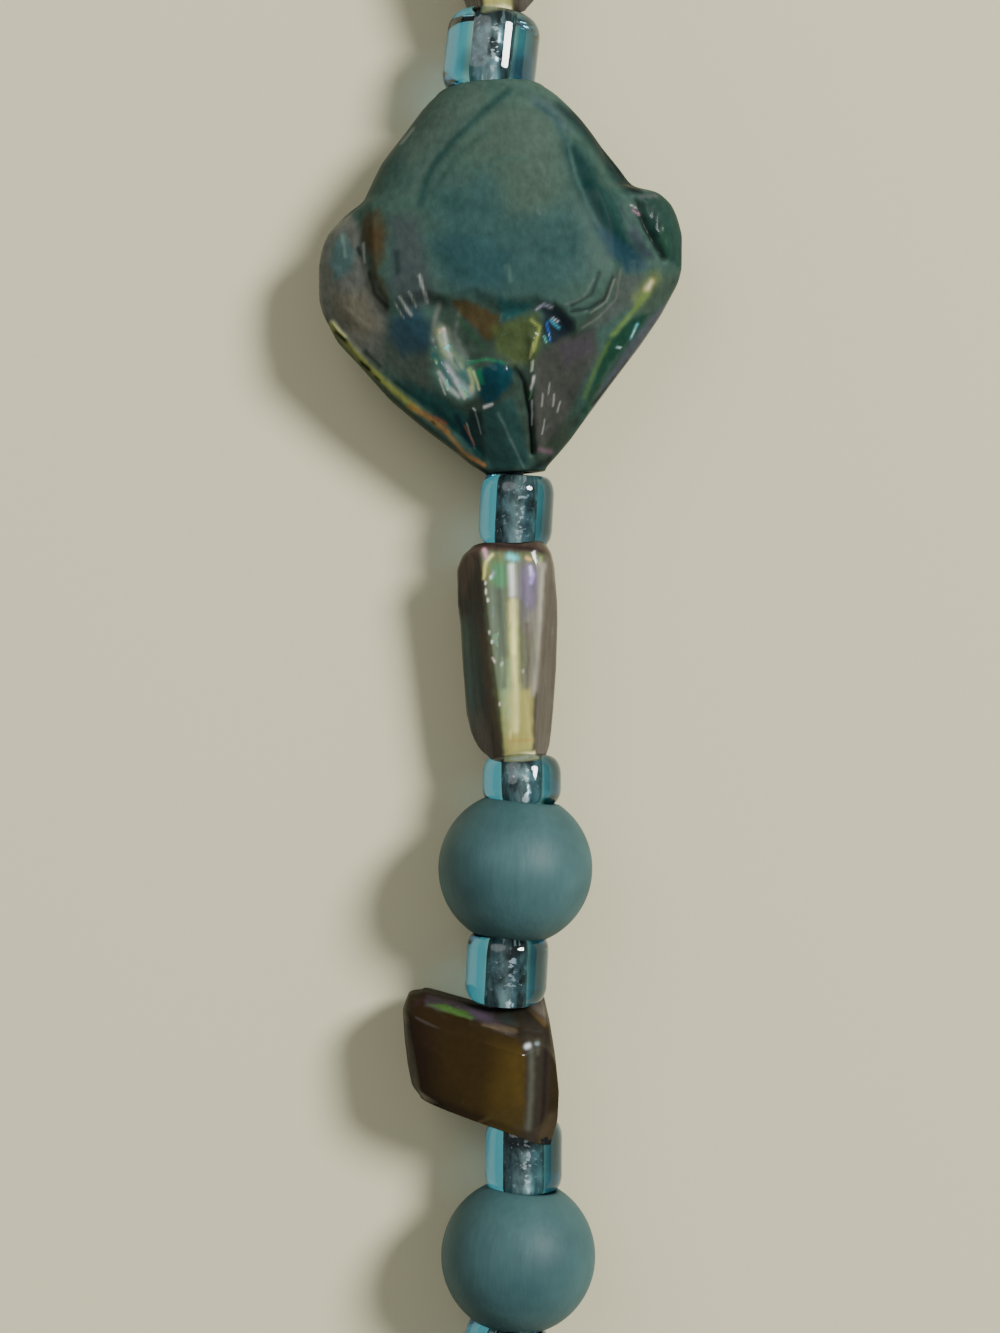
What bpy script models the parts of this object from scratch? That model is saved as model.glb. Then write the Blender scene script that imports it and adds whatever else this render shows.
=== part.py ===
"""A beaded necklace laid flat as one closed loop, in metres, +Z up, resting on z = 0.

Dyed shell nuggets, shell tubes, shell chips and painted wood rounds are strung on one thread
with a glass spacer between each two, and a barrel clasp closes the loop.
"""

from collections import namedtuple
from math import cos, copysign, pi, radians, sin, sqrt

import bmesh
import bpy
import numpy as np
from mathutils import Matrix, Vector

# Clearances
PIECE_GAP = 0.0002  # between neighbours on the thread
THREAD_CLEARANCE = 0.0003  # all round the thread inside a bead
THREAD_WIDTH = 0.0006

# Shell nugget: along the thread, across it, and from its flat back to the top of its dome
NUGGET_LENGTH = 0.0200
NUGGET_WIDTH = 0.0196
NUGGET_DEPTH = 0.0082
NUGGET_HOLE_HEIGHT = 0.0040
NUGGET_COUNT = 5

# Shell tube
TUBE_LENGTH = 0.0109
TUBE_WIDTH = 0.0053
TUBE_DEPTH = 0.0059
TUBE_HOLE_HEIGHT = 0.0037

# Shell chip
CHIP_LENGTH = 0.0060
CHIP_WIDTH = 0.0076
CHIP_DEPTH = 0.0064
CHIP_HOLE_HEIGHT = 0.0037

# Wood round
WOOD_WIDTH = 0.0082
WOOD_MOUTH_WIDTH = 0.0038
WOOD_DIMPLE_WIDTH = 0.0030
WOOD_DIMPLE = 0.0004

# Glass spacer: its length stands in the stringing table
GLASS_WIDTH = 0.0042

# Barrel clasp
CLASP_LENGTH = 0.0130
CLASP_WIDTH = 0.0068
CLASP_NECK_WIDTH = 0.0036
CLASP_BAND_LENGTH = 0.0014
CLASP_BAND_STEP = 0.0003
CLASP_BORE_DEPTH = 0.0036
CLASP_SPACER = 0.0036

# The loop lies as an oval with its two long sides nearly straight
STRAIGHT_RUN = 0.042
EASE_RUN = 0.022
FRONT_NUGGET_COUNT = 2  # how many nuggets on from the clasp stands the one of the +X side
FRONT_NUGGET_AHEAD = 0.0204  # from its middle to the middle of the +X side
ROUTE_STEPS = 6000

# Facets
NUGGET_SIDES = 16
TUBE_SIDES = 12
CHIP_SIDES = 16
WOOD_SIDES = 12
WOOD_RINGS = 7
STRAND_SIDES = 10
CLASP_SIDES = 16
MERGE_DISTANCE = 1e-7
SHARP_ANGLE = radians(40)

BEAD_BORE = THREAD_WIDTH + 2 * THREAD_CLEARANCE

Strung = namedtuple("Strung", "kind drift_in drift_out spacer")
# From one nugget to the next. A drift is how far a hole's mouth lies out from the oval's own line, and a spacer is
# the length of the glass bead that follows.
STRINGING = (
    Strung("nugget", drift_in=-0.0015, drift_out=0.0001, spacer=0.0037),
    Strung("tube", drift_in=-0.0001, drift_out=0.0003, spacer=0.0025),
    Strung("wood", drift_in=0.0003, drift_out=-0.0004, spacer=0.0037),
    Strung("chip", drift_in=-0.0006, drift_out=0.0004, spacer=0.0038),
    Strung("wood", drift_in=0.0004, drift_out=0.0001, spacer=0.0035),
    Strung("tube", drift_in=-0.0006, drift_out=-0.0008, spacer=0.0042),
)

Section = namedtuple("Section", "along left right crown base lean", defaults=(0.0,))
# Shares of the bead's own length, width, width, height above the hole, and hole height. A lean, a share of the
# length, is how far a section's crown stands along the thread past its base.
NUGGET_SECTIONS = (
    Section(0.50, 0.11, 0.14, 0.32, 0.34),
    Section(0.44, 0.21, 0.21, 0.56, 0.62),
    Section(0.34, 0.30, 0.28, 0.80, 0.90),
    Section(0.25, 0.37, 0.35, 0.92, 1.06),
    Section(0.20, 0.41, 0.45, 0.95, 1.10),
    Section(0.10, 0.48, 0.50, 1.00, 1.14),
    Section(0.00, 0.51, 0.48, 1.00, 1.15),
    Section(-0.10, 0.50, 0.43, 0.96, 1.12),
    Section(-0.21, 0.42, 0.34, 0.86, 1.05),
    Section(-0.31, 0.33, 0.24, 0.73, 0.88),
    Section(-0.40, 0.22, 0.18, 0.58, 0.66),
    Section(-0.46, 0.14, 0.13, 0.44, 0.48),
    Section(-0.50, 0.08, 0.08, 0.30, 0.32),
)
TUBE_SECTIONS = (
    Section(0.50, 0.44, 0.34, 0.80, 0.72),
    Section(0.44, 0.54, 0.41, 0.96, 0.94),
    Section(0.25, 0.55, 0.43, 1.00, 1.00),
    Section(-0.13, 0.54, 0.38, 0.90, 0.92),
    Section(-0.33, 0.49, 0.34, 0.82, 0.82),
    Section(-0.45, 0.41, 0.31, 0.74, 0.74),
    Section(-0.50, 0.33, 0.26, 0.60, 0.60),
)
CHIP_SECTIONS = (
    Section(0.50, 0.52, 0.24, 0.36, 0.66),
    Section(0.42, 0.68, 0.29, 0.62, 0.90),
    Section(0.25, 0.71, 0.30, 0.92, 1.00),
    Section(-0.02, 0.71, 0.28, 1.00, 1.00),
    Section(-0.24, 0.68, 0.25, 1.00, 0.94, -0.03),
    Section(-0.40, 0.44, 0.20, 0.98, 0.74, -0.06),
    Section(-0.50, 0.17, 0.14, 0.90, 0.36, -0.08),
)

Cut = namedtuple("Cut", "mirrored turned width depth")
# How the copies of a shell bead differ: turned over left to right, end for end, and in size
NUGGET_CUTS = (
    Cut(True, False, 0.95, 0.97),
    Cut(False, False, 1.00, 1.00),
    Cut(True, True, 0.98, 0.94),
    Cut(False, True, 0.93, 1.00),
    Cut(True, False, 1.00, 0.96),
)
TUBE_CUTS = (
    Cut(True, True, 0.96, 0.95),
    Cut(False, True, 1.00, 0.97),
    Cut(True, False, 0.95, 0.98),
    Cut(False, False, 1.00, 1.00),
)
CHIP_CUTS = (
    Cut(True, False, 0.96, 0.95),
    Cut(False, False, 1.00, 1.00),
    Cut(True, True, 0.94, 1.00),
    Cut(False, True, 0.98, 0.96),
)

Ring = namedtuple("Ring", "along radius")
# The glass bead's outline, in shares of its length from its first mouth and of half its width
GLASS_RINGS = (Ring(0.09, 0.62), Ring(0.31, 1.00), Ring(0.69, 1.00), Ring(0.91, 0.62))

# How square a shell bead's section is: 1 is round, and less is squarer
NUGGET_SQUARENESS = 0.86
TUBE_SQUARENESS = 0.74
CHIP_SQUARENESS = 0.55


def clear_scene():
    for old in list(bpy.data.objects):
        bpy.data.objects.remove(old)


def finish(name, colour, roughness, metallic=0.0):
    """A plain surface finish."""
    material = bpy.data.materials.new(name)
    material.use_nodes = True
    shader = material.node_tree.nodes["Principled BSDF"]
    shader.inputs["Base Color"].default_value = (*colour, 1.0)
    shader.inputs["Roughness"].default_value = roughness
    shader.inputs["Metallic"].default_value = metallic
    return material


def wrapped_grid(rows, sides, place):
    """A closed skin from a grid whose corners place(row, side) sets, with meeting corners merged and ends filled."""
    skin = bmesh.new()
    bmesh.ops.create_grid(skin, x_segments=rows, y_segments=sides, size=1.0)
    for corner in skin.verts:
        row = round((corner.co.x + 1) / 2 * rows)
        side = round((corner.co.y + 1) / 2 * sides)
        corner.co = place(row, side % sides)
    bmesh.ops.remove_doubles(skin, verts=skin.verts, dist=MERGE_DISTANCE)
    open_edges = [edge for edge in skin.edges if edge.is_boundary]
    if open_edges:
        bmesh.ops.holes_fill(skin, edges=open_edges)
    bmesh.ops.recalc_face_normals(skin, faces=skin.faces)
    return skin


def mesh_of(name, skin):
    mesh = bpy.data.meshes.new(name)
    skin.to_mesh(mesh)
    skin.free()
    mesh.shade_smooth()
    mesh.set_sharp_from_angle(angle=SHARP_ANGLE)
    return mesh


def drilled_bead(sections, mouths, sides, outline):
    """A bead drilled along its Y axis: outer sections from its first mouth to its last, and the bore's wall."""
    last = len(sections) + 1

    def place(row, side):
        angle = 2 * pi * side / sides
        if row == last:
            return Vector((cos(angle) * BEAD_BORE / 2, mouths[1], sin(angle) * BEAD_BORE / 2))
        if row in (0, last + 1):
            return Vector((cos(angle) * BEAD_BORE / 2, mouths[0], sin(angle) * BEAD_BORE / 2))
        return outline(sections[row - 1], angle)

    return wrapped_grid(last + 1, sides, place)


def shell_bead(name, sections, length, width, depth, hole_height, sides, squareness, cut):
    """A cut shell bead: X is across it, Y along its hole and Z up from the hole's axis, with a ground flat back."""
    crown_height = (depth - hole_height) * cut.depth
    turn = -1 if cut.turned else 1
    rows = sections[::turn]

    def outline(section, angle):
        left, right = (section.right, section.left) if cut.mirrored else (section.left, section.right)
        across = copysign(abs(cos(angle)) ** squareness, cos(angle))
        up = copysign(abs(sin(angle)) ** squareness, sin(angle))
        reach = (right if across > 0 else left) * width * cut.width
        rise = section.crown * crown_height if up > 0 else section.base * hole_height
        along = section.along + section.lean * up
        return Vector((across * reach, turn * along * length, max(up * rise, -hole_height)))

    skin = drilled_bead(rows, (length / 2, -length / 2), sides, outline)
    return mesh_of(name, skin)


def nugget_mesh(name, cut):
    return shell_bead(
        name,
        NUGGET_SECTIONS,
        NUGGET_LENGTH,
        NUGGET_WIDTH,
        NUGGET_DEPTH,
        NUGGET_HOLE_HEIGHT,
        NUGGET_SIDES,
        NUGGET_SQUARENESS,
        cut,
    )


def tube_mesh(name, cut):
    return shell_bead(
        name,
        TUBE_SECTIONS,
        TUBE_LENGTH,
        TUBE_WIDTH,
        TUBE_DEPTH,
        TUBE_HOLE_HEIGHT,
        TUBE_SIDES,
        TUBE_SQUARENESS,
        cut,
    )


def chip_mesh(name, cut):
    return shell_bead(
        name,
        CHIP_SECTIONS,
        CHIP_LENGTH,
        CHIP_WIDTH,
        CHIP_DEPTH,
        CHIP_HOLE_HEIGHT,
        CHIP_SIDES,
        CHIP_SQUARENESS,
        cut,
    )


def wood_length():
    """The length of the round bead's hole, between the bottoms of its two dimples."""
    return sqrt(WOOD_WIDTH**2 - WOOD_MOUTH_WIDTH**2) - 2 * WOOD_DIMPLE


def wood_mesh(name):
    """A round bead with a dimple at each mouth, in which the end of a glass bead sits."""
    mouth = wood_length() / 2
    rim = mouth + WOOD_DIMPLE
    rings = [Ring(mouth, WOOD_DIMPLE_WIDTH / 2)]
    for step in range(WOOD_RINGS):
        along = rim * cos(pi * step / (WOOD_RINGS - 1))
        rings.append(Ring(along, sqrt(WOOD_WIDTH**2 / 4 - along**2)))
    rings.append(Ring(-mouth, WOOD_DIMPLE_WIDTH / 2))

    def outline(ring, angle):
        return Vector((cos(angle) * ring.radius, ring.along, sin(angle) * ring.radius))

    skin = drilled_bead(rings, (mouth, -mouth), WOOD_SIDES, outline)
    return mesh_of(name, skin)


def clasp_mesh(name):
    """A barrel with a raised band round its middle, and a blind bore in each end for the thread."""
    half = CLASP_LENGTH / 2
    bottom = half - CLASP_BORE_DEPTH
    barrel = CLASP_WIDTH / 2 - CLASP_BAND_STEP
    end_half = (
        Ring(bottom, 0.0),
        Ring(bottom, BEAD_BORE / 2),
        Ring(half, BEAD_BORE / 2),
        Ring(half, CLASP_NECK_WIDTH / 2),
        Ring(half - CLASP_BAND_LENGTH, barrel * 0.93),
        Ring(CLASP_BAND_LENGTH, barrel),
        Ring(CLASP_BAND_LENGTH / 2, barrel),
        Ring(CLASP_BAND_LENGTH / 2, CLASP_WIDTH / 2),
    )
    rings = end_half + tuple(Ring(-ring.along, ring.radius) for ring in reversed(end_half))

    def place(row, side):
        angle = 2 * pi * side / CLASP_SIDES
        return Vector((cos(angle) * rings[row].radius, rings[row].along, sin(angle) * rings[row].radius))

    return mesh_of(name, wrapped_grid(len(rings) - 1, CLASP_SIDES, place))


Link = namedtuple("Link", "kind length drift_in drift_out height_in height_out")


def bead_link(row):
    length = {"nugget": NUGGET_LENGTH, "tube": TUBE_LENGTH, "chip": CHIP_LENGTH, "wood": wood_length()}
    hole = {
        "nugget": NUGGET_HOLE_HEIGHT,
        "tube": TUBE_HOLE_HEIGHT,
        "chip": CHIP_HOLE_HEIGHT,
        "wood": WOOD_WIDTH / 2,
    }
    return Link(row.kind, length[row.kind], row.drift_in, row.drift_out, hole[row.kind], hole[row.kind])


def chain_links():
    """Every link of the loop in the order of stringing, from the clasp round to its last glass bead."""
    rows = STRINGING[4:] + STRINGING * (NUGGET_COUNT - 1) + STRINGING[:3]
    beads = [bead_link(row) for row in rows]
    clasp = Link("clasp", CLASP_LENGTH, 0.0, 0.0, CLASP_WIDTH / 2, CLASP_WIDTH / 2)
    spacers = [CLASP_SPACER] + [row.spacer for row in rows]
    hard = [clasp] + beads
    links = []
    for place, before in enumerate(hard):
        after = hard[(place + 1) % len(hard)]
        glass = Link(
            "glass", spacers[place], before.drift_out, after.drift_in, before.height_out, after.height_in
        )
        links += [before, glass]
    return links


def oval(perimeter):
    """The oval's points, outward directions and curvature, run clockwise from the middle of its +X side."""
    arc = np.linspace(0.0, perimeter, ROUTE_STEPS + 1)
    step = perimeter / ROUTE_STEPS
    half = perimeter / 2
    from_side = np.abs((arc + half / 2) % half - half / 2)
    eased = np.clip((from_side - STRAIGHT_RUN / 2) / EASE_RUN, 0.0, 1.0)
    bend = eased * eased * (3 - 2 * eased)
    turned = np.concatenate([[0.0], np.cumsum(bend[1:] + bend[:-1])]) * step / 2
    end_curvature = 2 * pi / turned[-1]
    heading = turned * end_curvature
    travel = np.stack([-np.sin(heading), -np.cos(heading)], axis=1)
    moved = np.concatenate([[[0.0, 0.0]], np.cumsum(travel[1:] + travel[:-1], axis=0)]) * step / 2
    points = moved - (moved[0] + moved[ROUTE_STEPS // 2]) / 2
    outward = np.stack([np.cos(heading), -np.sin(heading)], axis=1)
    return arc, points, outward, bend * end_curvature


def plan_spans(links):
    """How far each link reaches along the plan, from the middle of one gap to the middle of the next."""
    return [
        sqrt(
            (link.length + PIECE_GAP) ** 2
            - (link.height_in - link.height_out) ** 2
            - (link.drift_in - link.drift_out) ** 2
        )
        for link in links
    ]


def joint_points(links):
    """The middle of the gap before each link, on an oval just long enough for the whole chain."""
    spans = plan_spans(links)
    perimeter = sum(spans)
    nuggets = [index for index, link in enumerate(links) if link.kind == "nugget"]
    front = nuggets[FRONT_NUGGET_COUNT - 1]
    start = 0.0
    for _ in range(12):
        arc, points, outward, curvature = oval(perimeter)
        starts = [start]
        for link, span in zip(links, spans):
            bend = np.interp((starts[-1] + span / 2) % perimeter, arc, curvature)
            inward = 1 + bend * (link.drift_in + link.drift_out) / 2
            starts.append(starts[-1] + span / inward * (1 + (span * bend) ** 2 / 24))
        perimeter = starts[-1] - start
        start -= (starts[front] + starts[front + 1]) / 2 + FRONT_NUGGET_AHEAD
    joints = []
    for link, along in zip(links, starts):
        place = [np.interp(along % perimeter, arc, points[:, axis]) for axis in (0, 1)]
        out = [np.interp(along % perimeter, arc, outward[:, axis]) for axis in (0, 1)]
        joints.append(
            Vector((place[0] + out[0] * link.drift_in, place[1] + out[1] * link.drift_in, link.height_in))
        )
    return joints


def link_frame(first, last):
    """A link's own frame: its hole along Y with the first mouth at +Y, X outward from the loop, origin in the middle."""
    back = (first - last).normalized()
    out = back.cross(Vector((0.0, 0.0, 1.0))).normalized()
    up = out.cross(back)
    turn = Matrix((out, back, up)).transposed().to_4x4()
    return Matrix.Translation((first + last) / 2) @ turn


def link_frames(links):
    joints = joint_points(links)
    return [link_frame(joints[index], joints[(index + 1) % len(joints)]) for index in range(len(links))]


def strand_mesh(name, links, frames):
    """The thread and its glass beads as one body, swept from one end of the clasp round to the other."""
    tail = CLASP_LENGTH / 2 - CLASP_BORE_DEPTH + PIECE_GAP
    rings = [(frames[0], -tail, THREAD_WIDTH / 2)]
    for link, frame in zip(links, frames):
        if link.kind != "glass":
            continue
        rings.append((frame, link.length / 2, THREAD_WIDTH / 2))
        for ring in GLASS_RINGS:
            rings.append((frame, (0.5 - ring.along) * link.length, ring.radius * GLASS_WIDTH / 2))
        rings.append((frame, -link.length / 2, THREAD_WIDTH / 2))
    rings.append((frames[0], tail, THREAD_WIDTH / 2))

    def place(row, side):
        frame, along, radius = rings[row]
        angle = 2 * pi * side / STRAND_SIDES
        return frame @ Vector((cos(angle) * radius, along, sin(angle) * radius))

    return mesh_of(name, wrapped_grid(len(rings) - 1, STRAND_SIDES, place))


def add_object(name, mesh, material, parent, frame=None):
    part = bpy.data.objects.new(name, mesh)
    if not mesh.materials:
        mesh.materials.append(material)
    bpy.context.scene.collection.objects.link(part)
    part.parent = parent
    if frame is not None:
        part.location = frame.to_translation()
        part.rotation_euler = frame.to_euler()
    return part


def centre_on_base(root, parts):
    """Moves the loop so that the middle of its box stands over the origin."""
    bpy.context.view_layer.update()
    corners = [part.matrix_world @ vert.co for part in parts for vert in part.data.vertices]
    for axis in (0, 1):
        reach = [corner[axis] for corner in corners]
        root.location[axis] -= (min(reach) + max(reach)) / 2


def build():
    clear_scene()
    root = bpy.data.objects.new("necklace", None)
    bpy.context.scene.collection.objects.link(root)
    finishes = {
        "nugget": finish("dyed shell", (0.055, 0.125, 0.105), 0.30),
        "tube": finish("dark shell", (0.110, 0.095, 0.060), 0.20, 0.2),
        "chip": finish("olive shell", (0.055, 0.038, 0.012), 0.22),
        "wood": finish("teal paint", (0.075, 0.150, 0.160), 0.55),
        "glass": finish("blue glass", (0.040, 0.170, 0.230), 0.05),
        "clasp": finish("brass", (0.560, 0.400, 0.160), 0.30, 1.0),
    }
    links = chain_links()
    frames = link_frames(links)
    shells = {"nugget": (nugget_mesh, NUGGET_CUTS), "tube": (tube_mesh, TUBE_CUTS), "chip": (chip_mesh, CHIP_CUTS)}
    round_bead = wood_mesh("wood")
    made = {kind: 0 for kind in finishes}
    parts = []
    for link, frame in zip(links, frames):
        if link.kind in ("glass", "clasp"):
            continue
        made[link.kind] += 1
        name = f"{link.kind}_{made[link.kind]}"
        if link.kind == "wood":
            mesh = round_bead
        else:
            shape, cuts = shells[link.kind]
            mesh = shape(name, cuts[(made[link.kind] - 1) % len(cuts)])
        parts.append(add_object(name, mesh, finishes[link.kind], root, frame))
    parts.append(add_object("clasp", clasp_mesh("clasp"), finishes["clasp"], root, frames[0]))
    parts.append(add_object("strand", strand_mesh("strand", links, frames), finishes["glass"], root))
    centre_on_base(root, parts)


build()
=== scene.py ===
"""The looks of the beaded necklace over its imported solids, in metres with +Z up.

Each bead is shaped and painted in millimetres, lying along Y with its hole through the origin.
"""

from collections import namedtuple
from math import cos, pi, radians, sin, sqrt

import bmesh
import bpy
import numpy as np
from mathutils import Matrix, Vector, noise


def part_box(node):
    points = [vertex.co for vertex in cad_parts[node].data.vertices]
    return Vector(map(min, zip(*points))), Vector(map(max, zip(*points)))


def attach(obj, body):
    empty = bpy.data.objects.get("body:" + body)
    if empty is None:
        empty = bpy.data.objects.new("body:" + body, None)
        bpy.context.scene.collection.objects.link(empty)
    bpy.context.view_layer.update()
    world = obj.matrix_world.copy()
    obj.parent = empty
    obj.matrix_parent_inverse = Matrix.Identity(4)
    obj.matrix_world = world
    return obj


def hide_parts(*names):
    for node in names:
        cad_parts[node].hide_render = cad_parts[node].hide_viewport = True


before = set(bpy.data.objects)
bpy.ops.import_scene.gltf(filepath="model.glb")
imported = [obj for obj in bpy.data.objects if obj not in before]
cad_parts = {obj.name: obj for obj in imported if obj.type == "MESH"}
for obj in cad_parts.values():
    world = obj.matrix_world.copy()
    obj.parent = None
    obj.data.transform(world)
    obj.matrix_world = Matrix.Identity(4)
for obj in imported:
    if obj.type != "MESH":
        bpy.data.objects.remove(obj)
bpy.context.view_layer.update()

MM = 0.001
TO_METRES = Matrix.Diagonal((MM, MM, MM, 1.0))

# The loop, as the solids have it
PIECE_GAP = 0.0002
NUGGET_LENGTH = 0.0200
NUGGET_HOLE_HEIGHT = 0.0040
NUGGET_COUNT = 5
TUBE_LENGTH = 0.0109
TUBE_HOLE_HEIGHT = 0.0037
CHIP_LENGTH = 0.0060
CHIP_HOLE_HEIGHT = 0.0037
WOOD_WIDTH = 0.0082
WOOD_MOUTH_WIDTH = 0.0038
WOOD_DIMPLE = 0.0004
GLASS_WIDTH = 0.0042
CLASP_LENGTH = 0.0130
CLASP_WIDTH = 0.0068
CLASP_SPACER = 0.0036
CLASP_BORE_DEPTH = 0.0034
THREAD_WIDTH = 0.0006
BEAD_BORE = 0.0012
BORE_RADIUS = BEAD_BORE / MM / 2
MOUTH_RADIUS = WOOD_MOUTH_WIDTH / MM / 2
STRAIGHT_RUN = 0.042
EASE_RUN = 0.022
FRONT_NUGGET_COUNT = 2
FRONT_NUGGET_AHEAD = 0.0204
ROUTE_STEPS = 6000
ROUTE_ROUNDS = 12

Strung = namedtuple("Strung", "kind drift_in drift_out spacer")
STRINGING = (
    Strung("nugget", drift_in=-0.0015, drift_out=0.0001, spacer=0.0037),
    Strung("tube", drift_in=-0.0001, drift_out=0.0003, spacer=0.0025),
    Strung("wood", drift_in=0.0003, drift_out=-0.0004, spacer=0.0037),
    Strung("chip", drift_in=-0.0006, drift_out=0.0004, spacer=0.0038),
    Strung("wood", drift_in=0.0004, drift_out=0.0001, spacer=0.0035),
    Strung("tube", drift_in=-0.0006, drift_out=-0.0008, spacer=0.0042),
)
Cut = namedtuple("Cut", "mirrored turned width depth")
CUTS = {
    "nugget": (
        Cut(True, False, 0.95, 0.97),
        Cut(False, False, 1.00, 1.00),
        Cut(True, True, 0.98, 0.94),
        Cut(False, True, 0.93, 1.00),
        Cut(True, False, 1.00, 0.96),
    ),
    "tube": (
        Cut(True, True, 0.96, 0.95),
        Cut(False, True, 1.00, 0.97),
        Cut(True, False, 0.95, 0.98),
        Cut(False, False, 1.00, 1.00),
    ),
    "chip": (
        Cut(True, False, 0.96, 0.95),
        Cut(False, False, 1.00, 1.00),
        Cut(True, True, 0.94, 1.00),
        Cut(False, True, 0.98, 0.96),
    ),
}

Link = namedtuple("Link", "kind length drift_in drift_out height_in height_out")


def chain_links():
    """Every link of the loop in the order of stringing, from the clasp round to its last glass bead."""
    size = {
        "nugget": (NUGGET_LENGTH, NUGGET_HOLE_HEIGHT),
        "tube": (TUBE_LENGTH, TUBE_HOLE_HEIGHT),
        "chip": (CHIP_LENGTH, CHIP_HOLE_HEIGHT),
        "wood": (sqrt(WOOD_WIDTH**2 - WOOD_MOUTH_WIDTH**2) - 2 * WOOD_DIMPLE, WOOD_WIDTH / 2),
    }
    rows = STRINGING[4:] + STRINGING * (NUGGET_COUNT - 1) + STRINGING[:3]
    hard = [Link("clasp", CLASP_LENGTH, 0.0, 0.0, CLASP_WIDTH / 2, CLASP_WIDTH / 2)]
    for row in rows:
        length, height = size[row.kind]
        hard.append(Link(row.kind, length, row.drift_in, row.drift_out, height, height))
    spacers = [CLASP_SPACER] + [row.spacer for row in rows]
    links = []
    for place, before in enumerate(hard):
        after = hard[(place + 1) % len(hard)]
        ends = (before.drift_out, after.drift_in, before.height_out, after.height_in)
        glass = Link("glass", spacers[place], *ends)
        links += [before, glass]
    return links


def oval(perimeter):
    """The oval's points, outward directions and curvature, run clockwise from the middle of its +X side."""
    arc = np.linspace(0.0, perimeter, ROUTE_STEPS + 1)
    step = perimeter / ROUTE_STEPS
    half = perimeter / 2
    from_side = np.abs((arc + half / 2) % half - half / 2)
    eased = np.clip((from_side - STRAIGHT_RUN / 2) / EASE_RUN, 0.0, 1.0)
    bend = eased * eased * (3 - 2 * eased)
    turned = np.concatenate([[0.0], np.cumsum(bend[1:] + bend[:-1])]) * step / 2
    end_curvature = 2 * pi / turned[-1]
    heading = turned * end_curvature
    travel = np.stack([-np.sin(heading), -np.cos(heading)], axis=1)
    moved = np.concatenate([[[0.0, 0.0]], np.cumsum(travel[1:] + travel[:-1], axis=0)]) * step / 2
    points = moved - (moved[0] + moved[ROUTE_STEPS // 2]) / 2
    outward = np.stack([np.cos(heading), -np.sin(heading)], axis=1)
    return arc, points, outward, bend * end_curvature


def joint_points(links):
    """The middle of the gap before each link, on an oval just long enough for the whole chain."""
    spans = [
        sqrt(
            (link.length + PIECE_GAP) ** 2
            - (link.height_in - link.height_out) ** 2
            - (link.drift_in - link.drift_out) ** 2
        )
        for link in links
    ]
    perimeter = sum(spans)
    nuggets = [index for index, link in enumerate(links) if link.kind == "nugget"]
    front = nuggets[FRONT_NUGGET_COUNT - 1]
    start = 0.0
    for _ in range(ROUTE_ROUNDS):
        arc, points, outward, curvature = oval(perimeter)
        starts = [start]
        for link, span in zip(links, spans):
            bend = np.interp((starts[-1] + span / 2) % perimeter, arc, curvature)
            inward = 1 + bend * (link.drift_in + link.drift_out) / 2
            # a link is a chord of the bend, which is a little longer
            starts.append(starts[-1] + span / inward * (1 + (span * bend) ** 2 / 24))
        perimeter = starts[-1] - start
        start -= (starts[front] + starts[front + 1]) / 2 + FRONT_NUGGET_AHEAD
    joints = []
    for link, along in zip(links, starts):
        place = [np.interp(along % perimeter, arc, points[:, axis]) for axis in (0, 1)]
        out = [np.interp(along % perimeter, arc, outward[:, axis]) for axis in (0, 1)]
        joints.append(
            Vector((place[0] + out[0] * link.drift_in, place[1] + out[1] * link.drift_in, link.height_in))
        )
    return joints


def link_frames(links):
    """Each link's own frame: its hole along Y, X outward from the loop, origin in the middle of the hole."""
    joints = joint_points(links)
    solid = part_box("clasp")
    shift = (solid[0] + solid[1]) / 2 - (joints[0] + joints[1]) / 2
    shift.z = 0.0
    frames = []
    for index, first in enumerate(joints):
        last = joints[(index + 1) % len(joints)]
        back = (first - last).normalized()
        out = back.cross(Vector((0.0, 0.0, 1.0))).normalized()
        up = out.cross(back)
        turn = Matrix((out, back, up)).transposed().to_4x4()
        frames.append(Matrix.Translation((first + last) / 2 + shift) @ turn)
    return frames


# Fields over a bead, in millimetres


def eased(low, high, value):
    """0 below low and 1 above high, with a smooth run between."""
    share = np.clip((value - low) / (high - low), 0.0, 1.0)
    return share * share * (3 - 2 * share)


def hump(distance, width):
    return np.exp(-((distance / width) ** 2))


# How far apart the random fields of two seeds are read
SEED_SHIFT = (7.31, 3.17, 5.93)


def mottle(places, size, seed):
    """A smooth random value from about -1 to 1 at each place, changing over about that size."""
    shift = Vector([seed * step for step in SEED_SHIFT])
    return np.array([noise.noise(Vector(place) / size + shift) for place in places])


def line_distance(across, along, line):
    """How far each place lies from a chosen line."""
    nearest = np.full(across.shape, np.inf)
    for start, end in zip(line, line[1:]):
        run = (end[0] - start[0], end[1] - start[1])
        reach = run[0] ** 2 + run[1] ** 2
        part = np.clip(((across - start[0]) * run[0] + (along - start[1]) * run[1]) / reach, 0.0, 1.0)
        away = np.hypot(across - start[0] - part * run[0], along - start[1] - part * run[1])
        nearest = np.minimum(nearest, away)
    return nearest


def depth_inside(across, along, outline):
    """How deep each place lies inside a closed outline; outside it is below 0."""
    away = line_distance(across, along, outline + outline[:1])
    inside = np.zeros(across.shape, bool)
    for start, end in zip(outline, outline[1:] + outline[:1]):
        crosses = (start[1] > along) != (end[1] > along)
        slope = (end[0] - start[0]) / ((end[1] - start[1]) or 1e-9)
        inside ^= crosses & (across < start[0] + (along - start[1]) * slope)
    return np.where(inside, away, -away)


def tint(code):
    """A colour code as linear red, green and blue."""
    shares = [int(code[place : place + 2], 16) / 255 for place in (1, 3, 5)]
    return np.array(
        [share / 12.92 if share <= 0.04045 else ((share + 0.055) / 1.055) ** 2.4 for share in shares]
    )


def linear(code):
    """A colour code as a socket takes it."""
    return (*tint(code), 1.0)


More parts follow.
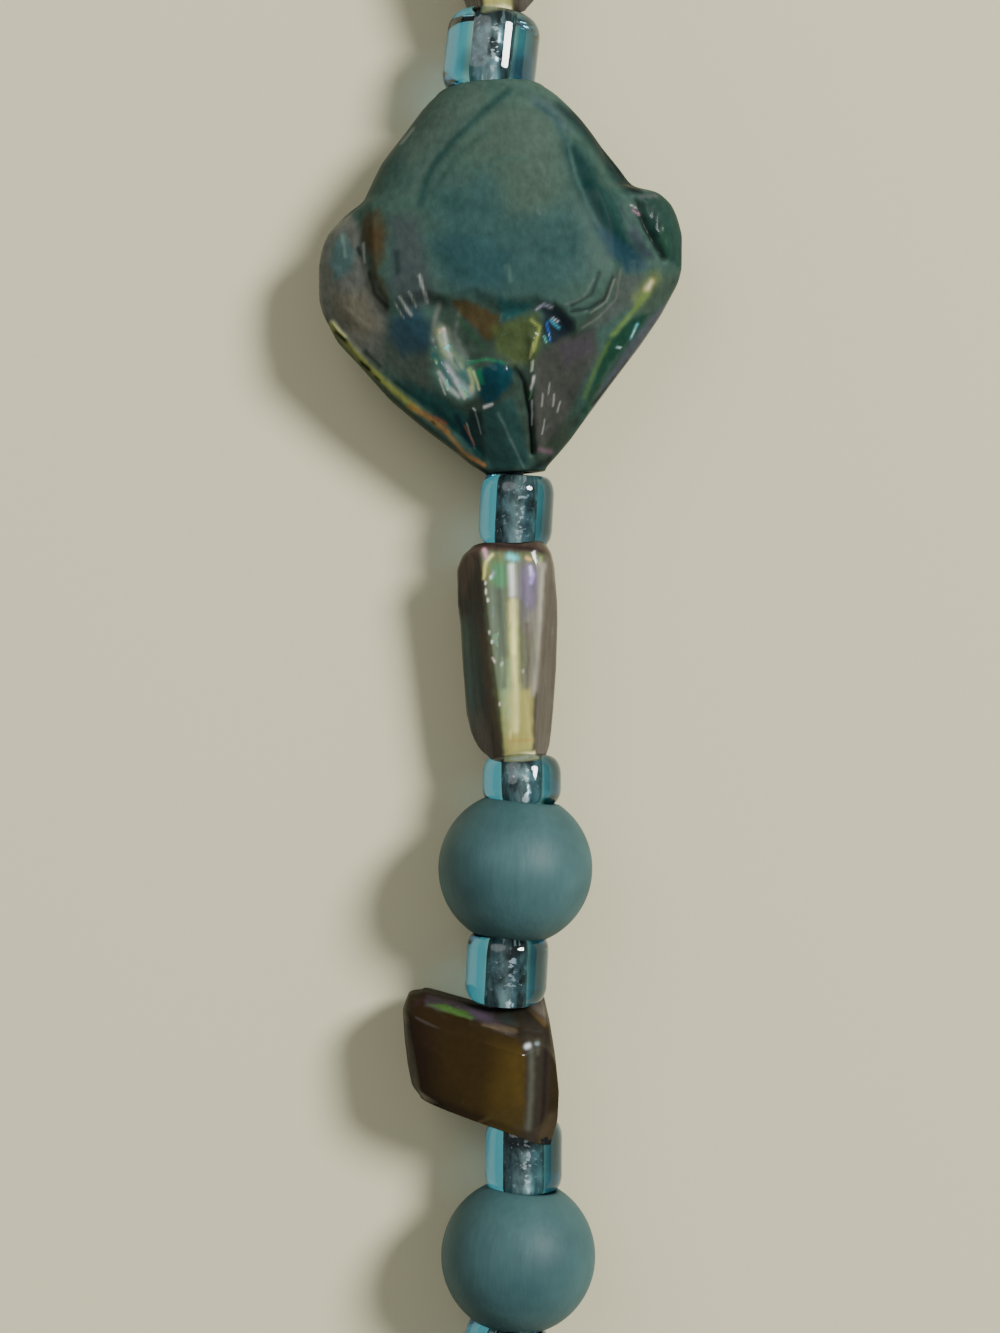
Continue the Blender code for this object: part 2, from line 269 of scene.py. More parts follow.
def blend(colours, share, code):
    """The colours moved towards one colour by a share at each place."""
    share = np.clip(share, 0.0, 1.0)[:, None]
    return colours * (1 - share) + tint(code) * share


# A patch fills its outline and a stroke follows its line. The share says how much of its colour is laid on,
# soft is how far a patch's edge runs out, and shine is how likely painted glints of nacre show there.
Patch = namedtuple("Patch", "colour share soft rough shine outline")
Stroke = namedtuple("Stroke", "colour share width rough shine line")
# Strokes stray this much as far as patches do
STROKE_STRAY = 0.3


def paint_marks(paint, across, along, wander, marks):
    """Lays patches and strokes over a bead's paint, where wander is the random pull on their edges."""
    for mark in marks:
        if isinstance(mark, Patch):
            deep = depth_inside(across + wander[0], along + wander[1], mark.outline)
            mask = eased(-mark.soft, mark.soft, deep)
        else:
            strayed = (across + wander[0] * STROKE_STRAY, along + wander[1] * STROKE_STRAY)
            mask = hump(line_distance(*strayed, mark.line), mark.width)
        mask = mask * mark.share * paint["front"]
        paint["colour"] = blend(paint["colour"], mask, mark.colour)
        for name, value in (("rough", mark.rough), ("shine", mark.shine)):
            paint[name] = paint[name] * (1 - mask) + value * mask


# Meshes

WELD = 1e-5


def welded(skin):
    """The skin with its meeting corners merged and its faces turned outward."""
    bmesh.ops.remove_doubles(skin, verts=skin.verts, dist=WELD)
    bmesh.ops.recalc_face_normals(skin, faces=skin.faces)
    return skin


def wrapped_grid(places):
    """A closed skin from a grid of places [row, side]."""
    rows, sides = places.shape[0] - 1, places.shape[1]
    skin = bmesh.new()
    bmesh.ops.create_grid(skin, x_segments=rows, y_segments=sides, size=1.0)
    for corner in skin.verts:
        row = round((corner.co.x + 1) / 2 * rows)
        side = round((corner.co.y + 1) / 2 * sides)
        corner.co = places[row, side % sides]
    return welded(skin)


def turned(profile, sides):
    """A solid turned about the Y axis from a closed profile of (along, radius)."""
    skin = bmesh.new()
    corners = [skin.verts.new((radius, along, 0.0)) for along, radius in profile]
    edges = [skin.edges.new((first, last)) for first, last in zip(corners, corners[1:] + corners[:1])]
    spun = {"cent": (0, 0, 0), "axis": (0, 1, 0), "angle": 2 * pi, "steps": sides, "use_merge": True}
    bmesh.ops.spin(skin, geom=corners + edges, **spun)
    return welded(skin)


def as_mesh(name, skin):
    mesh = bpy.data.meshes.new(name)
    skin.to_mesh(mesh)
    skin.free()
    return mesh


def corner_places(mesh):
    places = np.empty(len(mesh.vertices) * 3)
    mesh.vertices.foreach_get("co", places)
    return places.reshape(-1, 3)


def set_field(mesh, name, values):
    """Stores a number, a vector or a colour at each corner."""
    if values.ndim == 1:
        mesh.attributes.new(name, "FLOAT", "POINT").data.foreach_set("value", values.astype(np.float32))
        return
    mesh.attributes.new(name, "FLOAT_VECTOR", "POINT").data.foreach_set(
        "vector", values.astype(np.float32).ravel()
    )


def add_piece(name, mesh, materials):
    piece = bpy.data.objects.new(name, mesh)
    for material in materials:
        mesh.materials.append(material)
    bpy.context.scene.collection.objects.link(piece)
    return piece


def place_mesh(name, mesh, place, material):
    """Puts a mesh that was worked in millimetres at its place on the loop."""
    mesh.transform(place @ TO_METRES)
    return add_piece(name, mesh, [material])


# Materials


class Wire:
    """A socket of a material's nodes. Arithmetic on it adds the Math nodes."""

    def __init__(self, tree, socket=None):
        self.tree = tree
        self.socket = socket

    def node(self, kind, sockets, settings=None, stops=None, output=0):
        made = self.tree.nodes.new(kind)
        for name, value in (settings or {}).items():
            setattr(made, name, value)
        if stops:
            ramp = made.color_ramp.elements
            while len(ramp) < len(stops):
                ramp.new(0.5)
            for element, (place, code) in zip(ramp, stops):
                element.position = place
                element.color = linear(code)
        for name, value in sockets.items():
            if isinstance(value, Wire):
                self.tree.links.new(value.socket, made.inputs[name])
            else:
                made.inputs[name].default_value = value
        return Wire(self.tree, made.outputs[output])

    def math(self, operation, first, last):
        return self.node("ShaderNodeMath", {0: first, 1: last}, {"operation": operation})

    def __add__(self, other):
        return self.math("ADD", self, other)

    __radd__ = __add__

    def __sub__(self, other):
        return self.math("SUBTRACT", self, other)

    def __rsub__(self, other):
        return self.math("SUBTRACT", other, self)

    def __mul__(self, other):
        return self.math("MULTIPLY", self, other)

    __rmul__ = __mul__

    def ramp(self, stops):
        """The colour at this value on a ramp of (place, colour code)."""
        return self.node("ShaderNodeValToRGB", {"Fac": self}, stops=stops)

    def between(self, low, high):
        """0 below low and 1 above high, with a smooth run between."""
        limits = {"Value": self, "From Min": low, "From Max": high}
        return self.node("ShaderNodeMapRange", limits, {"interpolation_type": "SMOOTHSTEP"})

    def towards(self, colour, share):
        """This colour mixed towards another."""
        settings = {"data_type": "RGBA"}
        return self.node("ShaderNodeMix", {0: share, 6: self, 7: colour}, settings, output=2)

    def scaled(self, share):
        """This colour or vector times a number."""
        return self.node("ShaderNodeVectorMath", {0: self, "Scale": share}, {"operation": "SCALE"})

    def times(self, other):
        """This vector times another, part by part."""
        return self.node("ShaderNodeVectorMath", {0: self, 1: other}, {"operation": "MULTIPLY"})

    def plus(self, other):
        """This vector and another."""
        return self.node("ShaderNodeVectorMath", {0: self, 1: other}, {"operation": "ADD"})

    def field(self, name, output=1):
        """A mesh's own field: output 1 for a vector or colour, and 2 for a number."""
        return self.node("ShaderNodeAttribute", {}, {"attribute_name": name}, output=output)

    def grain(self, where, scale, detail, roughness=0.55):
        sockets = {"Vector": where, "Scale": scale, "Detail": detail, "Roughness": roughness}
        return self.node("ShaderNodeTexNoise", sockets)


def new_material(name, **constants):
    """A material whose shader holds these constants, and a wire to build its varying inputs with."""
    material = bpy.data.materials.new(name)
    material.use_nodes = True
    shader = material.node_tree.nodes["Principled BSDF"]
    for socket, value in constants.items():
        shader.inputs[socket.replace("_", " ")].default_value = value
    return material, shader, Wire(material.node_tree)


def feed(shader, wire, socket):
    wire.tree.links.new(wire.socket, shader.inputs[socket])


def bumped(wire, height, distance):
    return wire.node("ShaderNodeBump", {"Height": height, "Distance": distance, "Strength": 1.0})


# Tints of the glints painted on nacre, iridescent from pink through gold, green and cyan to violet and white
NACRE_GLINT_TINTS = (
    (0.0, "#d68aa0"),
    (0.2, "#e8dc8a"),
    (0.4, "#7fd08a"),
    (0.6, "#57d3d6"),
    (0.8, "#9a86c8"),
    (1.0, "#f0f4f0"),
)


def shell_look(name, depth, flake, streak, vein, bump, **constants):
    """Shell with its own paint, growth grain, painted glints of nacre where it shines and gloss where it is
    smooth.

    The depth is the paint's strength, the flake the fineness of the painted nacre glints, the streak the
    grain's fineness along the bead, the vein the grain's contrast and the bump its height in metres.
    """
    material, shader, wire = new_material(name, Coat_IOR=1.35, **constants)
    where = wire.field("grain")
    paint = wire.field("paint")
    shine = wire.field("shine", output=2)
    rough = wire.field("rough", output=2)
    fine = wire.grain(where.times((1.0, streak, 1.0)), 2.6, 4.0)
    cloud = wire.grain(where, 0.55, 3.0)
    shade = (0.8 - 0.5 * vein + fine * vein + cloud * 0.40) * depth
    # Painted glints: flakes of iridescent colour laid into the base colour where the shell shines
    hue = wire.grain(where.plus((11.0, 3.0, 7.0)), 0.9, 2.0).between(0.3, 0.7)
    streaks = where.plus(wire.node("ShaderNodeTexNoise", {"Vector": where, "Scale": 0.8}, output=1))
    sockets = {"Vector": streaks.times((1.0, 0.40, 1.0)), "Scale": flake}
    cells = wire.node("ShaderNodeTexVoronoi", sockets, output=1)
    chance = wire.node("ShaderNodeSeparateColor", {"Color": cells})
    lit = (chance + shine).between(0.98, 1.16) * fine.between(0.38, 0.62)
    feed(shader, paint.scaled(shade).towards(hue.ramp(NACRE_GLINT_TINTS), lit * 0.7), "Base Color")
    feed(shader, rough + (fine - 0.5) * 0.16, "Roughness")
    feed(shader, 0.55 - 1.4 * rough, "Coat Weight")
    feed(shader, bumped(wire, fine * 0.6 + cloud, bump), "Normal")
    return material


def wood_look():
    """Matt paint over fine wood grain."""
    material, shader, wire = new_material("teal painted wood", Specular_IOR_Level=0.20)
    where = wire.field("grain")
    lines = wire.grain(where.times((3.2, 0.5, 3.2)), 1.0, 4.0, 0.6)
    cloud = wire.grain(where, 0.35, 2.0)
    base = cloud.ramp(((0.3, "#2d494a"), (0.7, "#395757")))
    feed(shader, base.scaled(0.84 + lines * 0.30), "Base Color")
    feed(shader, 0.46 + lines * 0.14, "Roughness")
    feed(shader, bumped(wire, lines, 0.00003), "Normal")
    return material


# Across the glass, from the inside of the loop to its outside: its blue tint, with light painted in as a
# bright band on the inner side and painted shade on the outer side
GLASS_TINTS_AND_PAINTED_LIGHT = (
    (0.0, "#1c5c8c"),
    (0.05, "#2f86b4"),
    (0.10, "#44a2d6"),
    (0.22, "#4cacd8"),
    (0.27, "#bfcfce"),
    (0.73, "#b4c6c6"),
    (0.78, "#2f7590"),
    (1.0, "#235a74"),
)


def glass_look():
    """Clear glass that is palest over its bore, with painted shade making it darkest on the side away from
    the loop's middle.
    """
    constants = {"Roughness": 0.03, "IOR": 1.52, "Transmission_Weight": 1.0}
    material, shader, wire = new_material("clear blue glass", **constants)
    across = wire.field("side", output=2) * 0.5 + 0.5
    feed(shader, across.ramp(GLASS_TINTS_AND_PAINTED_LIGHT), "Base Color")
    return material


def lining_look():
    """The silvered bore seen through the glass: dark, with worn streaks and small painted glints."""
    material, shader, wire = new_material("dark silver lining", Metallic=0.35)
    where = wire.node("ShaderNodeTexCoord", {}, output=3)
    worn = wire.grain(where.times((1.0, 0.5, 1.0)), 1500.0, 4.0)
    # small white glints painted into the colour, gathered in a band a little to one side of the bore's middle
    aside = wire.field("side", output=2) - 0.08
    near = 1.0 - (aside * aside).between(0.0, 0.012)
    painted_glints = (wire.grain(where, 4200.0, 3.0) + near * 0.10).between(0.62, 0.70)
    base = worn.ramp(((0.38, "#1a2424"), (0.52, "#6e8080"), (0.66, "#9fb6b6")))
    feed(shader, base.towards((1.0, 1.0, 1.0, 1.0), painted_glints), "Base Color")
    feed(shader, 0.45 - painted_glints * 0.3, "Roughness")
    return material


def brass_look():
    """Brass rubbed in fine rings round the clasp."""
    material, shader, wire = new_material("satin brass", Metallic=1.0, Base_Color=linear("#c4a56a"))
    rubbed = wire.grain(wire.field("grain").times((0.6, 6.0, 0.6)), 1.4, 3.0)
    feed(shader, 0.22 + rubbed * 0.2, "Roughness")
    return material


def make_materials():
    return {
        "nugget": shell_look(
            "dyed shell", depth=0.44, flake=3.0, streak=0.7, vein=0.8, bump=0.00004,
            IOR=1.15, Specular_IOR_Level=0.2, Coat_Roughness=0.10,
        ),
        "tube": shell_look(
            "dark shell", depth=0.80, flake=4.0, streak=0.10, vein=1.3, bump=0.00002,
            IOR=1.3, Coat_Roughness=0.08,
        ),
        "chip": shell_look(
            "olive shell", depth=0.57, flake=4.0, streak=1.0, vein=0.4, bump=0.00002,
            IOR=1.2, Coat_Roughness=0.06,
        ),
        "wood": wood_look(),
        "glass": glass_look(),
        "lining": lining_look(),
        "thread": new_material("grey thread", Base_Color=linear("#5a5f60"), Roughness=0.7)[0],
        "clasp": brass_look(),
    }


# Shell beads

Section = namedtuple("Section", "along left right crown base lean", defaults=(0.0,))
NUGGET_SECTIONS = (
    Section(10.0, 2.55, 2.95, 2.30, 1.40, 0.45),
    Section(9.8, 3.05, 3.50, 2.75, 1.90, 0.40),
    Section(9.5, 3.42, 3.85, 3.05, 2.30, 0.32),
    Section(9.0, 3.90, 4.33, 3.40, 2.75, 0.20),
    Section(8.3, 4.55, 4.92, 3.62, 3.10, 0.08),
    Section(7.5, 5.32, 5.45, 3.78, 3.40),
    Section(6.8, 5.95, 5.87, 3.86, 3.60),
    Section(5.6, 6.65, 6.70, 3.96, 4.00),
    Section(4.9, 7.05, 7.12, 4.02, 4.25),
    Section(4.5, 7.80, 7.45, 4.04, 4.30),
    Section(4.2, 8.15, 8.60, 4.06, 4.35),
    Section(3.5, 8.98, 9.28, 4.10, 4.45),
    Section(2.8, 9.38, 9.54, 4.14, 4.50),
    Section(1.8, 9.66, 9.72, 4.18, 4.55),
    Section(0.0, 9.78, 9.55, 4.20, 4.60),
    Section(-0.7, 9.66, 9.30, 4.18, 4.60),
    Section(-2.3, 9.00, 8.27, 4.00, 4.50),
    Section(-3.8, 7.80, 7.05, 3.72, 4.30),
    Section(-5.6, 6.45, 5.43, 3.25, 3.95),
    Section(-7.4, 4.62, 3.85, 2.72, 3.10),
    Section(-8.6, 3.25, 2.82, 2.30, 2.45),
    Section(-9.4, 2.45, 2.00, 1.95, 1.80),
    Section(-10.0, 1.55, 1.35, 1.50, 1.20),
)
TUBE_SECTIONS = (
    Section(5.45, 2.20, 1.70, 1.70, 2.66, 0.42),
    Section(5.15, 2.80, 1.95, 1.98, 3.20, 0.38),
    Section(4.45, 3.10, 2.10, 2.08, 3.50, 0.20),
    Section(2.60, 3.12, 2.18, 2.15, 3.70),
    Section(1.50, 3.02, 2.16, 2.12, 3.65),
    Section(-1.00, 2.98, 2.00, 2.00, 3.50),
    Section(-3.20, 2.90, 1.76, 1.85, 3.20),
    Section(-4.30, 2.68, 1.62, 1.72, 2.90, -0.25),
    Section(-5.10, 2.25, 1.48, 1.60, 2.74, -0.45),
    Section(-5.45, 1.60, 1.28, 1.42, 2.22, -0.50),
)
CHIP_SECTIONS = (
    Section(3.00, 4.10, 1.90, 1.10, 2.44),
    Section(2.55, 5.00, 2.10, 1.80, 3.30),
    Section(1.60, 5.42, 2.20, 2.50, 3.70),
    Section(0.00, 5.56, 2.10, 2.70, 3.70),
    Section(-1.50, 5.62, 1.80, 2.70, 3.50),
    Section(-2.50, 5.58, 1.40, 2.66, 2.80),
    Section(-3.00, 5.20, 1.12, 2.40, 1.80),
)
# The lower its square, the squarer a section is. The sections run into each other over the smooth length,
# and seat is the radius of the flat round a mouth.
Form = namedtuple("Form", "sections hole_height square smooth seat")
FORMS = {
    "nugget": Form(NUGGET_SECTIONS, NUGGET_HOLE_HEIGHT / MM, square=0.86, smooth=0.15, seat=2.0),
    "tube": Form(TUBE_SECTIONS, TUBE_HOLE_HEIGHT / MM, square=0.74, smooth=0.12, seat=1.2),
    "chip": Form(CHIP_SECTIONS, CHIP_HOLE_HEIGHT / MM, square=0.50, smooth=0.10, seat=0.95),
}
Fineness = namedtuple("Fineness", "rows front_sides back_sides")
# The three shell beads in the middle of the camera's view are worked finer than their copies
FINE = {
    "nugget_2": Fineness(236, 280, 40),
    "tube_4": Fineness(150, 120, 30),
    "chip_2": Fineness(120, 150, 34),
    "nugget": Fineness(130, 150, 36),
    "tube": Fineness(76, 64, 24),
    "chip": Fineness(64, 80, 30),
}
# How far the marks stray on the copies, and the share of the rows that crowd towards a bead's ends
COPY_STRAY = 0.8
END_CROWDING = 0.35
# How far apart the grain of two beads is read
GRAIN_SHIFT = 31.7


def shell_places(form, fine):
    """Places of one uncut shell bead's corners [row, side], from its first mouth round to its bore's wall."""
    top, bottom = form.sections[0].along, form.sections[-1].along
    steps = np.linspace(0.0, 1.0, fine.rows)
    spread = END_CROWDING * (1 - np.cos(pi * steps)) / 2 + (1 - END_CROWDING) * steps
    along = top + (bottom - top) * spread
    keys = np.array([section.along for section in form.sections])[::-1]
    near = np.exp(-(((along[:, None] - along[None, :]) / form.smooth) ** 2) / 2)
    near /= near.sum(axis=1, keepdims=True)
    widths = {}
    for name in ("left", "right", "crown", "base", "lean"):
        values = np.array([getattr(section, name) for section in form.sections])[::-1]
        widths[name] = (near @ np.interp(along, keys, values))[:, None]
    front = np.linspace(0.0, pi, fine.front_sides, endpoint=False)
    back = np.linspace(pi, 2 * pi, fine.back_sides, endpoint=False)
    angle = np.concatenate([front, back])[None, :]
    across = np.sign(np.cos(angle)) * np.abs(np.cos(angle)) ** form.square
    up = np.sign(np.sin(angle)) * np.abs(np.sin(angle)) ** form.square
    reach = np.where(across > 0, widths["right"], widths["left"])
    rise = np.where(up > 0, widths["crown"], widths["base"])
    leaning = along[:, None] + widths["lean"] * up
    height = np.maximum(up * rise, -form.hole_height)
    outer = np.stack([across * reach, leaning, height], axis=2)
    ring = np.stack([np.cos(angle) * BORE_RADIUS, angle * 0, np.sin(angle) * BORE_RADIUS], axis=2)
    first = ring + np.array([0.0, top, 0.0])
    last = ring + np.array([0.0, bottom, 0.0])
    first_seat = seat(outer[:1], top, form.seat)
    last_seat = seat(outer[-1:], bottom, form.seat)
    return np.concatenate([first, first_seat, outer, last_seat, last, first])


def seat(ring, along, reach):
    """The flat round a mouth that the glass bead stands against."""
    radius = np.hypot(ring[..., 0], ring[..., 2])[..., None]
    flat = ring * np.minimum(1.0, reach / radius)
    flat[..., 1] = along
    return flat


Facet = namedtuple("Facet", "normal through blur")


def ground(places, facets):
    """Grinds everything past each facet's plane back to it, with an edge rounded over its blur."""
    for normal, through, blur in facets:
        direction = np.array(normal) / np.linalg.norm(normal)
        past = (places - np.array(through)) @ direction
        depth = np.where(past > blur, past, np.where(past < -blur, 0.0, (past + blur) ** 2 / (4 * blur)))
        places = places - depth[:, None] * direction
    return places


def lifted(places, lift):
    """The places raised by a height at each."""
    return places + np.stack([0 * lift, 0 * lift, lift], axis=1)


# The nugget's lines, in millimetres across and along it, as its front is seen
DOME = (
    (-6.1, -1.1), (-5.0, -0.7), (-4.1, -0.6), (-3.0, -1.0), (-1.5, -0.8), (-0.1, -1.5), (1.5, -1.4),
    (2.8, -2.0), (3.6, -3.0), (4.7, -2.2), (5.7, -0.9), (6.2, 0.5), (6.0, 2.6), (5.4, 4.8), (5.6, 6.4),
    (6.0, 12.0), (-8.4, 12.0), (-6.9, 5.2), (-6.7, 3.8), (-6.8, 1.6), (-6.7, 0.3),
)
RIDGE = ((-9.2, -1.5), (-8.5, -2.5), (-7.6, -3.8), (-6.3, -5.2), (-5.1, -6.4), (-3.6, -7.8), (-1.8, -9.6))
CREASE = ((0.2, -4.8), (0.6, -5.5), (0.8, -7.0), (0.8, -9.1))
CREST = ((1.3, -3.4), (1.2, -5.6), (1.2, -7.7), (1.2, -9.4))
KNOB = ((8.4, 3.7), (9.1, 2.2), (9.1, 0.0))
KNOB_GROOVE = ((7.2, 3.4), (7.7, 2.0), (8.5, 0.5))
HOLLOW = ((5.4, 2.6), (6.2, 0.7), (7.5, 0.0))
RIB = ((8.0, -0.5), (7.0, -1.8), (6.0, -3.1), (4.6, -5.3), (3.8, -7.4))
RIB_GROOVE = ((7.7, -2.0), (6.7, -3.4), (5.4, -5.0), (4.2, -6.8))
RINGS = (
    ((5.7, -0.5), (5.2, -1.6), (4.3, -2.1), (3.4, -2.2)),
    ((5.0, -0.3), (4.5, -1.4), (3.4, -1.9)),
)
Relief = namedtuple("Relief", "line height width")
NUGGET_RELIEF = (
    Relief(RIDGE, 0.42, 0.26),
    Relief(CREASE, -0.26, 0.15),
    Relief(CREST, 0.22, 0.28),
    Relief(KNOB, 0.34, 0.85),
    Relief(KNOB_GROOVE, -0.30, 0.26),
    Relief(HOLLOW, -0.22, 1.00),
    Relief(RIB, 0.34, 0.55),
    Relief(RIB_GROOVE, -0.20, 0.22),
    Relief(RINGS[0], -0.09, 0.12),
    Relief(RINGS[1], -0.05, 0.10),
)
# A round rise or hollow, squeezed along the bead by a share
Mound = namedtuple("Mound", "across along height width squeeze")
NUGGET_MOUNDS = (
    Mound(-0.9, -5.4, 0.45, 1.0, 1.0),
    Mound(2.8, -5.6, -0.30, 1.2, 0.6),
)
# How far the shell lies lower outside the dome
DOME_STEP = 0.50
NUGGET_FACETS = (
    Facet((-0.42, -0.50, 1.0), (-3.6, -3.6, 2.9), 0.20),
    Facet((0.55, -0.42, 1.0), (3.6, -4.4, 2.6), 0.20),
)

